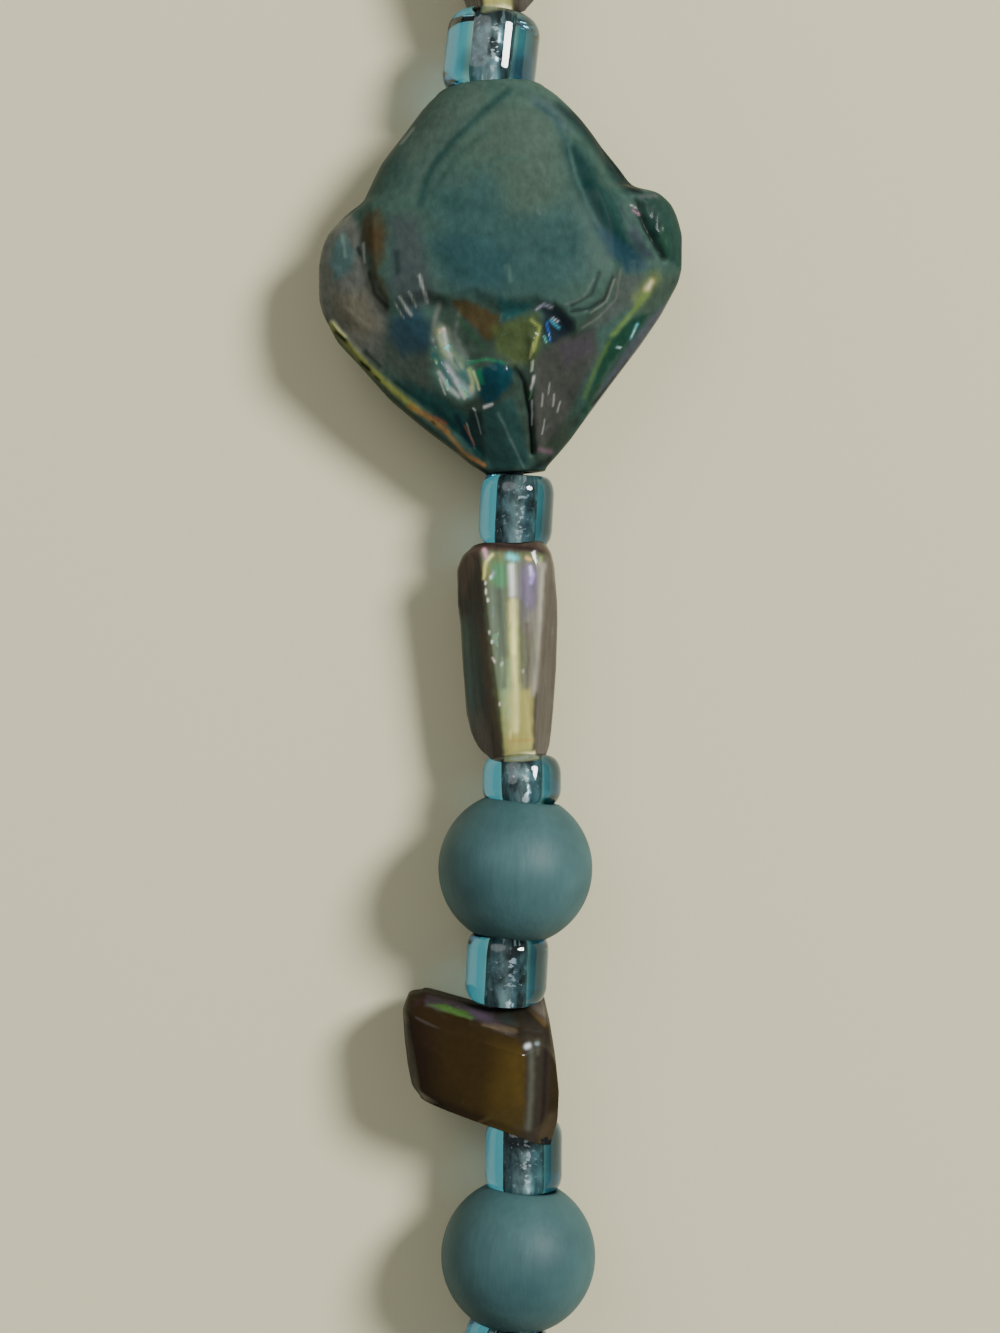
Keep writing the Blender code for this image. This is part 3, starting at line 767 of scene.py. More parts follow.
NUGGET_MARKS = (
    # the dome
    Patch(
        "#5a6e5e", 0.7, 1, 0.46, 0,
        ((-0.1, 8.7), (2, 9), (3.2, 7.9), (3.5, 6.3), (3.1, 3.9),
         (2, 2.2), (0.6, 2.9), (0.5, 5.3), (-1.2, 6.5), (-1.8, 6.6)),
    ),
    Patch(
        "#3f625f", 0.85, 0.9, 0.44, 0,
        ((-3.1, 4.5), (-0.4, 5.1), (0.6, 2.9), (3.8, 3.3), (4.4, 1.8),
         (4.4, -0.5), (2, -1.2), (-1.8, -0.7), (-3.4, 1.2)),
    ),
    Patch("#33575c", 0.6, 0.7, 0.42, 0, ((-3.6, 2.1), (-1.5, 2.2), (0.7, 0.9), (0, -1), (-2.9, -0.5))),
    Patch(
        "#264c46", 0.85, 0.45, 0.4, 0,
        ((4, 6.6), (5.2, 5.4), (6.6, 3.2), (6.6, 1.4), (5.5, 2), (4.6, 3.9)),
    ),
    # dark band along the upper right edge: darker shell, with shade painted in where the edge turns away
    Stroke("#24423f", 0.85, 0.35, 0.44, 0, ((3.7, 8.8), (5.1, 7.2), (5.9, 6), (6.9, 4.2))),
    Stroke("#0f2020", 0.85, 0.42, 0.44, 0, ((4.6, 8.5), (5.7, 6.9), (6.6, 5.4), (7.4, 4.4))),
    Patch("#54686a", 0.8, 0.3, 0.42, 0, ((2, 9.4), (3.3, 8.9), (4.2, 7.3), (3.6, 7.6), (2.8, 8.4))),
    Patch(
        "#5d7062", 0.7, 0.5, 0.46, 0,
        ((-2.4, 9.6), (-0.3, 10.3), (-0.1, 9.2), (-2.3, 7.4), (-4.3, 5.9), (-4.7, 7.1)),
    ),
    Stroke("#5d7367", 0.6, 0.2, 0.44, 0, ((-4.3, 4.6), (-3.7, 5.8), (-2.3, 7.2), (-0.7, 8.4))),
    Stroke(
        "#2c5049", 0.8, 0.22, 0.44, 0,
        ((-3.9, 4), (-3.6, 5.1), (-3, 6.1), (-1.7, 7.4), (-0.1, 8.7), (1.1, 9.6)),
    ),
    Stroke(
        "#3a5a58", 0.7, 0.2, 0.44, 0,
        ((2.5, 8.8), (3.4, 8.1), (3.9, 6.6), (4.1, 5.1), (4.7, 3.3), (5.4, 1.7)),
    ),
    Stroke("#3a5c53", 0.5, 0.16, 0.44, 0, ((-3.6, 3.3), (-3.2, 4.6), (-1.8, 6.4), (-0.2, 7.4))),
    Stroke("#557a70", 0.6, 0.13, 0.4, 0, ((4.1, 6.8), (4.2, 5.4), (4.6, 4), (5.3, 2), (5.8, 0.8))),
    # a painted highlight along the left edge
    Stroke("#9aa59b", 0.6, 0.1, 0.3, 0, ((-4.7, 7.6), (-4, 8.3))),
    Stroke("#5f8278", 0.8, 0.11, 0.4, 0, ((0.3, 0.4), (0.4, -0.4))),
    Stroke("#2b4d47", 0.5, 0.35, 0.44, 0, ((-2.5, 4.1), (-2, 3.7))),
    Stroke("#2b4d47", 0.5, 0.3, 0.44, 0, ((-3.1, 1.2), (-2, 0.2))),
    Stroke("#123a38", 0.85, 0.55, 0.48, 0, ((4.2, 6.2), (4.7, 4.2), (5.5, 2.4), (6.6, 1.0))),
    Stroke("#567a70", 0.5, 0.12, 0.46, 0, ((4.0, 6.6), (4.2, 4.9), (4.7, 3.2), (5.5, 1.4))),
    Stroke("#4b6c62", 0.5, 0.14, 0.46, 0, ((-1.5, 4.2), (-1.0, 5.3), (0.2, 6.0), (1.6, 5.9))),
    Stroke("#2e5654", 0.5, 0.18, 0.46, 0, ((1.9, 1.4), (2.8, 0.6), (3.6, 0.8), (4.0, 1.9))),
    # the left edge, its rust and its clear skin
    Patch(
        "#4e5556", 0.75, 0.5, 0.34, 0,
        ((-5.7, 3.6), (-4.2, 3.4), (-3.9, 1.3), (-3.5, -0.9), (-5.1, -1.5), (-6, -0.2), (-5.5, 1.5)),
    ),
    Patch(
        "#5c5238", 0.8, 0.3, 0.44, 0,
        ((-7.1, 3.8), (-6.1, 4.1), (-5.8, 3), (-6, 1.5), (-6.7, 0.3), (-6.8, 1.7), (-7.2, 2.6)),
    ),
    Patch("#64492a", 0.5, 0.3, 0.44, 0, ((-6.9, 3.2), (-6, 3), (-6.1, 1.9), (-6.7, 1.8))),
    Patch("#4c4a35", 0.8, 0.2, 0.36, 0, ((-6.8, 0.8), (-6.1, 0.4), (-5.9, -0.9), (-6.3, -0.9))),
    Patch(
        "#7d8076", 0.9, 0.22, 0.26, 0,
        ((-7.7, 4.3), (-7.2, 3.2), (-7.3, 1.7), (-6.9, 0.8), (-6.1, -1.4),
         (-6.7, -4.1), (-8, -3.2), (-9.4, -1.1), (-10.2, 0), (-10, 1.8), (-9.6, 3.3)),
    ),
    Patch("#86806a", 0.7, 0.5, 0.26, 0, ((-9, 0.1), (-7.2, -0.1), (-6.5, -2), (-7.7, -2.5), (-8.8, -1.3))),
    Patch(
        "#5d8583", 0.8, 0.28, 0.22, 0.05,
        ((-8.8, 2.8), (-8.1, 3.3), (-7.6, 2.1), (-7.8, 1.1), (-8.8, 0.8), (-9, 1.8)),
    ),
    Stroke("#8fa89c", 0.8, 0.09, 0.2, 0.1, ((-8.2, 3.1), (-8.1, 1.9))),
    Stroke("#20302c", 0.85, 0.12, 0.3, 0, ((-7.4, 2.2), (-7.3, 1.9))),
    Stroke("#b4b9b0", 0.85, 0.07, 0.2, 0.1, ((-7.1, 2.4), (-7.1, 1.4))),
    Stroke("#1f2a22", 0.8, 0.12, 0.36, 0, ((-6.9, 0.8), (-6.7, -0.3), (-6.1, -1.1))),
    Stroke("#26383a", 0.7, 0.2, 0.34, 0, ((-5.4, 1.6), (-5.4, 0.6))),
    Patch(
        "#5a6457", 0.75, 0.5, 0.28, 0,
        ((-6.1, -1.4), (-3.8, -3.6), (-4.3, -5.8), (-5.4, -5), (-7.1, -3.5), (-6.5, -2.1)),
    ),
    Patch(
        "#2f5060", 0.8, 0.4, 0.26, 0,
        ((-6, -1.7), (-4.6, -1.2), (-3.8, -2.4), (-4.1, -3.5), (-5.6, -3.5), (-6.1, -2.6)),
    ),
    # painted highlights on the rise of the dome's lower left edge
    Stroke("#c2c8be", 0.85, 0.07, 0.18, 0.2, ((-4.3, 0.3), (-4, -1))),
    Stroke("#a2aaa0", 0.8, 0.06, 0.18, 0.2, ((-4.9, -0.5), (-4.6, -1.2))),
    Stroke("#b4bab0", 0.85, 0.07, 0.18, 0.2, ((-5.4, -0.7), (-4.9, -1.6))),
    Stroke("#9aa298", 0.75, 0.05, 0.18, 0.2, ((-5.7, -0.9), (-5.3, -1.7))),
    # below the dome
    Patch(
        "#3d4c40", 0.8, 0.45, 0.3, 0,
        ((-3.5, -0.9), (3.5, -3), (4.8, -2.2), (2.6, -8.8), (-1.4, -9.9), (-4, -5.8)),
    ),
    Patch(
        "#24504c", 0.85, 0.28, 0.26, 0,
        ((-5.7, -4.6), (-4, -5.6), (-2.3, -6.9), (-1.6, -9.5), (-3, -7.8), (-4.8, -6)),
    ),
    Stroke("#7f867b", 0.7, 0.14, 0.22, 0.1, ((-3.4, -1.2), (-3.7, -2), (-3.9, -3))),
    Stroke("#6f7a70", 0.6, 0.12, 0.24, 0.1, ((-2.4, -1.7), (-2.7, -2.8), (-2.3, -4))),
    Patch(
        "#7c8478", 0.75, 0.25, 0.22, 0.1,
        ((-3.5, -2.2), (-3, -2.5), (-2.1, -4), (-2.7, -4.3), (-3.5, -3.6)),
    ),
    Patch(
        "#574b2f", 0.9, 0.12, 0.42, 0,
        ((-2.8, -1.1), (-2.1, -1.1), (-0.4, -2), (-0.4, -3), (-1.1, -3.3), (-1.6, -2.6), (-2.4, -1.7)),
    ),
    Stroke("#2f5a3a", 0.7, 0.1, 0.3, 0, ((-2.5, -2), (-1.8, -2.9), (-1.3, -3.7))),
    Patch("#1f5a5c", 0.75, 0.25, 0.28, 0, ((-0.4, -1.2), (1.4, -1.6), (1, -2.3), (-0.2, -2.3))),
    Patch(
        "#5a6a3c", 0.75, 0.32, 0.24, 0.05,
        ((-0.8, -2.6), (1.6, -2), (1.8, -3.5), (1.3, -4.6), (0.2, -4.6), (-0.6, -3.9)),
    ),
    Patch("#1f2a2c", 0.75, 0.18, 0.26, 0, ((2.5, -1.5), (3.5, -2.7), (2.7, -3.5), (2.3, -2.8))),
    Patch("#24303c", 0.8, 0.18, 0.22, 0, ((1.9, -1.8), (2.8, -2.1), (3.5, -3), (2.5, -3.7), (1.8, -3.5))),
    # pale nacre below the dome, streaked with painted pearly glints in pale green, cyan and white
    Patch(
        "#6f9a88", 0.75, 0.35, 0.2, 0.3,
        ((-4.0, -3.4), (-3.1, -3.0), (-2.1, -4.4), (-1.6, -5.2),
         (-1.8, -5.9), (-2.7, -6.2), (-3.6, -5.6), (-4.1, -4.6)),
    ),
    Stroke("#a8b88a", 0.85, 0.28, 0.18, 0.3, ((-3.5, -2.6), (-3.3, -3.5), (-2.8, -4.3))),
    Stroke("#c4d6b4", 0.85, 0.16, 0.16, 0.3, ((-3.5, -2.8), (-3.2, -3.7), (-2.6, -4.5))),
    Stroke("#3a7a78", 0.8, 0.13, 0.2, 0.1, ((-3.9, -3.7), (-3.4, -4.6), (-3.1, -5.6))),
    Stroke("#bcd8dc", 0.85, 0.20, 0.16, 0.4, ((-3.3, -4.2), (-2.9, -5.0), (-2.2, -5.8))),
    Stroke("#4d8a8a", 0.75, 0.10, 0.2, 0.1, ((-2.9, -4.0), (-2.5, -4.8), (-1.9, -5.6))),
    Stroke("#dfeee4", 0.85, 0.12, 0.14, 0.4, ((-3.7, -4.6), (-3.3, -5.4), (-2.8, -5.9))),
    Stroke("#e2ecb4", 0.85, 0.13, 0.14, 0.3, ((-2.1, -4.7), (-2.0, -5.2), (-2.1, -5.7))),
    Stroke("#2f8a5c", 0.8, 0.08, 0.18, 0.1, ((-2.1, -4.3), (-1.2, -4.2), (-0.3, -4.5))),
    Patch(
        "#0f4652", 0.9, 0.16, 0.16, 0,
        ((-1.8, -4.8), (-0.6, -4.4), (0.2, -4.9), (0, -5.6), (-0.8, -6.3), (-1.5, -6.5), (-1.8, -5.8)),
    ),
    Patch("#1d8a5a", 0.7, 0.13, 0.16, 0.1, ((-2, -4.9), (-1.5, -4.6), (-1.4, -5.5), (-1.9, -5.6))),
    # painted white glints on the nacre
    Stroke("#e6efe6", 0.85, 0.09, 0.14, 0.2, ((-3.3, -2.5), (-3.2, -3.2))),
    Stroke("#d2dccf", 0.8, 0.07, 0.14, 0.3, ((-3.2, -3.3), (-3, -4.1))),
    Stroke("#eef4ee", 0.9, 0.08, 0.14, 0.3, ((-3.3, -4.3), (-2.8, -5.2))),
    Stroke("#f4f8f4", 0.9, 0.09, 0.14, 0.3, ((-2.9, -5.1), (-2.5, -6))),
    Stroke("#cfe0d4", 0.85, 0.06, 0.14, 0.3, ((-3.7, -4.9), (-3.5, -5.7))),
    Stroke("#6fb04a", 0.8, 0.07, 0.14, 0.2, ((-2.1, -4.6), (-1.8, -5.3))),
    Stroke("#dcecb8", 0.9, 0.07, 0.14, 0.2, ((-1.9, -4.8), (-1.7, -5.7))),
    Patch(
        "#50504a", 0.85, 0.28, 0.24, 0,
        ((1.4, -4.3), (2.7, -3.5), (4.6, -3.1), (4.7, -4.4),
         (3.8, -5.7), (2.3, -8.1), (1.2, -9.1), (0.9, -7.7), (1.2, -6)),
    ),
    Patch("#57505a", 0.5, 0.28, 0.24, 0, ((2.5, -3.7), (4.5, -3.1), (4.4, -4.2), (2.9, -5))),
    Patch(
        "#1c302e", 0.8, 0.14, 0.24, 0,
        ((-2.3, -6.7), (-1.6, -6.8), (-1.6, -9.5), (-2.3, -8.8), (-2.7, -7.7)),
    ),
    Patch(
        "#2f5450", 0.85, 0.18, 0.24, 0,
        ((-1.6, -6.8), (0, -6.2), (0.4, -7.7), (0.6, -9.7), (-1.4, -9.9), (-1.7, -8.6)),
    ),
    Stroke("#6a8a80", 0.6, 0.08, 0.22, 0, ((-0.8, -7), (-0.1, -8.8), (0.3, -9.8))),
    Stroke("#7f8f88", 0.7, 0.04, 0.2, 0.1, ((-2, -6.6), (-1.8, -7.9))),
    Stroke("#9aa6a0", 0.7, 0.04, 0.2, 0.1, ((-2.5, -7.3), (-2.2, -8.6))),
    # painted white glints
    Stroke("#f2f6f2", 0.95, 0.07, 0.12, 0.2, ((-1.5, -6.6), (-1.1, -6.5))),
    Stroke("#dfe6e2", 0.85, 0.04, 0.12, 0.2, ((-2.1, -6.6), (-2, -6.7))),
    # painted shade in the crease
    Stroke("#14241f", 0.75, 0.08, 0.3, 0, CREASE),
    Stroke("#a8b85a", 0.8, 0.08, 0.16, 0.2, ((1.3, -2.4), (1.7, -2.8), (1.3, -4))),
    # painted glints of blue, cyan and white in the small crack
    Stroke("#d0cce4", 0.9, 0.06, 0.12, 0.3, ((1.6, -1.9), (2, -1.7), (2.4, -1.9))),
    Stroke("#5fc6e6", 0.9, 0.06, 0.12, 0.3, ((2.3, -2.5), (2.7, -2.9))),
    Stroke("#3a7ae0", 0.85, 0.05, 0.12, 0.3, ((2.1, -2.6), (2.2, -3.5))),
    Stroke("#e6ecf4", 0.9, 0.04, 0.12, 0.3, ((2.4, -2.4), (2.7, -2.6))),
    Stroke("#7fe0c8", 0.85, 0.05, 0.12, 0.3, ((1.9, -3.3), (2, -3.6))),
    Stroke("#c8e8e0", 0.85, 0.04, 0.12, 0.2, ((0.1, -2.1), (0.1, -2.2))),
    # painted highlights down the crest, pale to white
    Stroke("#b9c27a", 0.85, 0.06, 0.14, 0.2, ((1.3, -3.6), (1.1, -4.3))),
    Stroke("#dfe6c8", 0.85, 0.05, 0.14, 0.2, ((1.2, -4.5), (1.1, -5))),
    Stroke("#eef0e4", 0.9, 0.06, 0.12, 0.2, ((1.2, -5.3), (1, -5.9))),
    Stroke("#7fd08a", 0.8, 0.04, 0.14, 0.2, ((1, -6), (0.9, -6.4))),
    Stroke("#f0f0f0", 0.85, 0.04, 0.12, 0.2, ((1, -6.5), (0.9, -7.7))),
    Stroke("#bcbdb6", 0.6, 0.04, 0.14, 0.2, ((1.6, -6.2), (1.5, -6.8))),
    Stroke("#bcbdb6", 0.6, 0.04, 0.14, 0.2, ((1.6, -7.5), (1.4, -8.2))),
    Stroke("#c4c5be", 0.6, 0.04, 0.14, 0.2, ((2.2, -6.2), (2.1, -6.8))),
    Stroke("#c4c5be", 0.6, 0.04, 0.14, 0.2, ((2.5, -6.6), (2.3, -7.1))),
    Stroke("#b9bab4", 0.7, 0.03, 0.14, 0.2, ((2, -5.6), (1.9, -6.2))),
    # rings by the lower right of the dome
    Patch(
        "#5b625c", 0.75, 0.28, 0.26, 0,
        ((5.9, -0.3), (7.4, -0.4), (7.5, -1.3), (6, -2.3), (4.8, -3), (4.2, -2.8), (5.5, -1.7)),
    ),
    Stroke("#27302e", 0.8, 0.1, 0.26, 0, RINGS[0]),
    Stroke("#2a3835", 0.7, 0.1, 0.26, 0, RINGS[1]),
    Stroke("#8a938a", 0.7, 0.05, 0.2, 0, ((5.8, -0.6), (5.3, -1.7), (4.4, -2.3))),
    Stroke("#6f7d74", 0.65, 0.06, 0.22, 0, ((4.7, -0.6), (4.1, -1.5), (3.1, -1.8))),
    Stroke("#7b847a", 0.65, 0.06, 0.22, 0, ((6.2, -0.1), (5.8, -1.6), (4.8, -2.5), (3.9, -3))),
    # the right edge and its knob
    Patch(
        "#2a4a40", 0.85, 0.2, 0.4, 0,
        ((7.5, 3.9), (8.8, 4.2), (9.6, 2.9), (9.9, 1.1), (9.5, -0.1), (8.5, 0.5), (7.6, 2)),
    ),
    Stroke("#12302a", 0.7, 0.25, 0.3, 0, ((8.1, 2.6), (8.3, 1.7))),
    Stroke("#2f5a40", 0.6, 0.2, 0.28, 0, ((8.6, 2), (8.7, 0.8))),
    Stroke("#0e1a1a", 0.8, 0.16, 0.34, 0, ((6.8, 4.5), (7.3, 4.1), (7.6, 4))),
    Stroke("#6a6d70", 0.6, 0.14, 0.26, 0, ((7.6, 3.7), (8.4, 3.8))),
    # painted shade in the knob's groove
    Stroke("#14201f", 0.85, 0.15, 0.34, 0, ((7.3, 3), (7.7, 2), (8.5, 0.5))),
    Stroke("#060c0c", 0.9, 0.13, 0.3, 0, ((9.5, 3.2), (9.8, 1.8), (9.7, 0.8))),
    # small painted pink glints
    Stroke("#b58a9a", 0.9, 0.07, 0.2, 0.1, ((7.1, 3), (7.4, 2.8))),
    Stroke("#dccdd0", 0.85, 0.04, 0.16, 0.1, ((7, 3.3), (7.3, 3.1))),
    Patch(
        "#234654", 0.8, 0.3, 0.42, 0,
        ((5, 2.2), (5.9, 1.7), (7.3, 0.7), (7.8, -0.1), (6.5, -0.2), (5.5, 0.7)),
    ),
    Patch("#3a4450", 0.7, 0.2, 0.42, 0, ((7, 2.6), (8, 0.5), (7.4, 0.5), (6.8, 1.7))),
    Patch(
        "#4f6152", 0.8, 0.38, 0.26, 0,
        ((7.8, -0.4), (9.3, -0.2), (8.9, -1.4), (7.5, -2.7), (6.7, -2), (7.3, -0.9)),
    ),
    # a painted highlight with its halo
    Stroke("#8a9a5a", 0.6, 0.34, 0.22, 0, ((8, -0.5), (7, -1.6))),
    Stroke("#e6dc9a", 0.95, 0.15, 0.12, 0, ((7.8, -0.7), (7.5, -1.1))),
    Stroke("#fbf6d8", 0.95, 0.07, 0.1, 0, ((7.7, -0.8), (7.6, -1))),
    Stroke("#7a9a4a", 0.7, 0.14, 0.2, 0, ((7.5, -1.3), (6.6, -2.3), (5.5, -3.4))),
    Patch(
        "#5d6068", 0.8, 0.15, 0.24, 0,
        ((9.3, -1.1), (7.9, -3.4), (6.4, -5.1), (4.7, -6.8),
         (3.9, -7.6), (4.4, -6.4), (5.9, -4.5), (7.6, -2.5)),
    ),
    Patch(
        "#1d4a36", 0.85, 0.15, 0.22, 0,
        ((7.1, -2.3), (7.6, -2.3), (6.2, -3.8), (5.1, -5.1), (4.4, -6.4),
         (3.9, -7.4), (3.6, -7.2), (4.6, -5.1), (5.2, -3.7)),
    ),
    Stroke("#5a7a40", 0.7, 0.12, 0.22, 0, ((5.3, -3.7), (4.5, -5), (3.8, -6.4))),
    Stroke("#1a2a26", 0.8, 0.08, 0.26, 0, ((6.3, -4.6), (5.1, -5.9), (4.2, -6.8))),
    # painted cyan glints
    Stroke("#7fd0dc", 0.9, 0.06, 0.12, 0.2, ((6.5, -3.5), (6.9, -2.8))),
    Stroke("#c8f0e8", 0.9, 0.04, 0.12, 0.2, ((5.7, -3.9), (5.9, -4))),
    Patch("#3a4438", 0.7, 0.25, 0.28, 0, ((3.8, -7), (2.6, -8.8), (1.3, -9.7), (1, -9.4), (2.4, -7.8))),
    Stroke("#8a6a7a", 0.6, 0.14, 0.24, 0, ((1.2, -9), (1.8, -9.1))),
    Stroke("#1a2422", 0.8, 0.2, 0.34, 0, ((-1.7, -9.9), (0.5, -10.1), (1.7, -9.5))),
    # the lip along the lower left, with shadow painted along its inner side
    Stroke("#17403c", 0.8, 0.18, 0.26, 0, ((-6, -4.9), (-4.3, -6.2), (-3, -7.5), (-1.9, -8.9))),
    Stroke("#1d3a30", 0.7, 0.13, 0.3, 0, ((-7.5, -3.1), (-6.8, -3.9))),
    Stroke("#142a3a", 0.8, 0.14, 0.24, 0, ((-3, -6.9), (-2.4, -8.4))),
    Stroke("#9a6040", 0.7, 0.05, 0.24, 0, ((-2.6, -7.4), (-2.2, -8.4))),
    Stroke(
        "#7d8468", 0.75, 0.2, 0.3, 0,
        ((-9.3, -2.1), (-8.2, -3.7), (-6.7, -5.6), (-5.2, -7.1), (-3.7, -8.4), (-2.4, -9.6)),
    ),
    Stroke(
        "#949a4e", 0.92, 0.19, 0.28, 0,
        ((-9.2, -1.5), (-8.5, -2.5), (-7.6, -3.7), (-6.3, -5.1), (-5.1, -6.3)),
    ),
    Stroke("#c4c684", 0.8, 0.09, 0.24, 0, ((-9.2, -1.3), (-8.5, -2.2))),
    Stroke("#9a7440", 0.9, 0.15, 0.3, 0, ((-5.4, -6.1), (-4.4, -6.8), (-3.6, -7.6))),
    Stroke("#94543a", 0.8, 0.08, 0.3, 0, ((-4.1, -6.8), (-3.6, -7.2))),
    Stroke("#9a7a4a", 0.85, 0.12, 0.28, 0, ((-3.6, -7.6), (-2.8, -8.8), (-1.8, -9.5))),
    Stroke("#a06c48", 0.8, 0.08, 0.3, 0, ((-2.4, -9.1), (-1.8, -9.5))),
    Stroke("#101814", 0.95, 0.11, 0.36, 0, ((-9, -1.9), (-8.5, -2.4))),
    Stroke("#101814", 0.95, 0.1, 0.36, 0, ((-7.8, -3.6), (-7.4, -4))),
    Stroke("#2a2c1a", 0.8, 0.07, 0.36, 0, ((-7.1, -4.4), (-6.9, -4.6))),
    Stroke("#2a2c1a", 0.8, 0.07, 0.36, 0, ((-4.3, -7), (-4.2, -7.1))),
)


def raise_lines(across, along, reliefs):
    """How far raised and cut lines lift each place."""
    lift = np.zeros(across.shape)
    for relief in reliefs:
        lift += relief.height * hump(line_distance(across, along, relief.line), relief.width)
    return lift


def sculpt_nugget(places, seed):
    """Raises the dome, lip and knob, and cuts the creases and lower faces."""
    across, along, height = places.T
    # broad forms fade out down the sides, and lines only below them
    weight = eased(0.2, 1.8, height)
    edge = eased(-0.3, 0.5, height)
    dome = eased(-0.55, 0.30, depth_inside(across, along, DOME))
    below = 1 - dome
    lift = -DOME_STEP * below * weight
    lift += raise_lines(across, along, NUGGET_RELIEF) * edge
    for mound in NUGGET_MOUNDS:
        away = np.hypot(across - mound.across, (along - mound.along) * mound.squeeze)
        lift += mound.height * hump(away, mound.width) * weight
    lift += 0.09 * mottle(places, 3.4, seed) * weight
    lift += below * weight * (0.10 * mottle(places, 1.2, seed + 1) + 0.05 * mottle(places, 0.5, seed + 5))
    places = lifted(places, lift)
    share = (below * weight)[:, None]
    return places * (1 - share) + ground(places, NUGGET_FACETS) * share


def nugget_paint(places, seed, stray):
    across, along, height = places.T
    paint = start_paint(places, "#4f6b5f", 0.42)
    cloud = mottle(places, 2.6, seed + 2)
    paint["colour"] = blend(paint["colour"], 0.35 + 0.5 * cloud, "#46655c")
    edge = 1 - eased(-0.5, 2.2, height)
    paint["colour"] = blend(paint["colour"], edge * 0.75, "#1d3d38")
    paint_marks(paint, across, along, wandering(places, seed + 3, stray), NUGGET_MARKS)
    back = 1 - eased(-3.9, -2.6, height)
    paint["colour"] = blend(paint["colour"], back * (0.6 + 0.4 * cloud), "#6d7a68")
    return paint


def wandering(places, seed, stray):
    """How far the marks stray from where they were drawn: finely on every bead, and widely on the copies."""
    pulls = []
    for axis in (0, 1):
        pull = 0.10 * mottle(places, 0.45, seed + axis)
        if stray:
            wide = mottle(places, 2.4, seed + 2 + axis)
            pull = pull + stray * (wide + 0.5 * mottle(places, 0.9, seed + 4 + axis))
        pulls.append(pull)
    return pulls


def start_paint(places, code, rough):
    """A bead's bare paint: colour, roughness and shine at each place, and the front that takes marks."""
    count = len(places)
    return {
        "colour": np.tile(tint(code), (count, 1)),
        "rough": np.full(count, rough),
        "shine": np.zeros(count),
        "front": eased(-0.6, 0.3, places[:, 2]),
    }


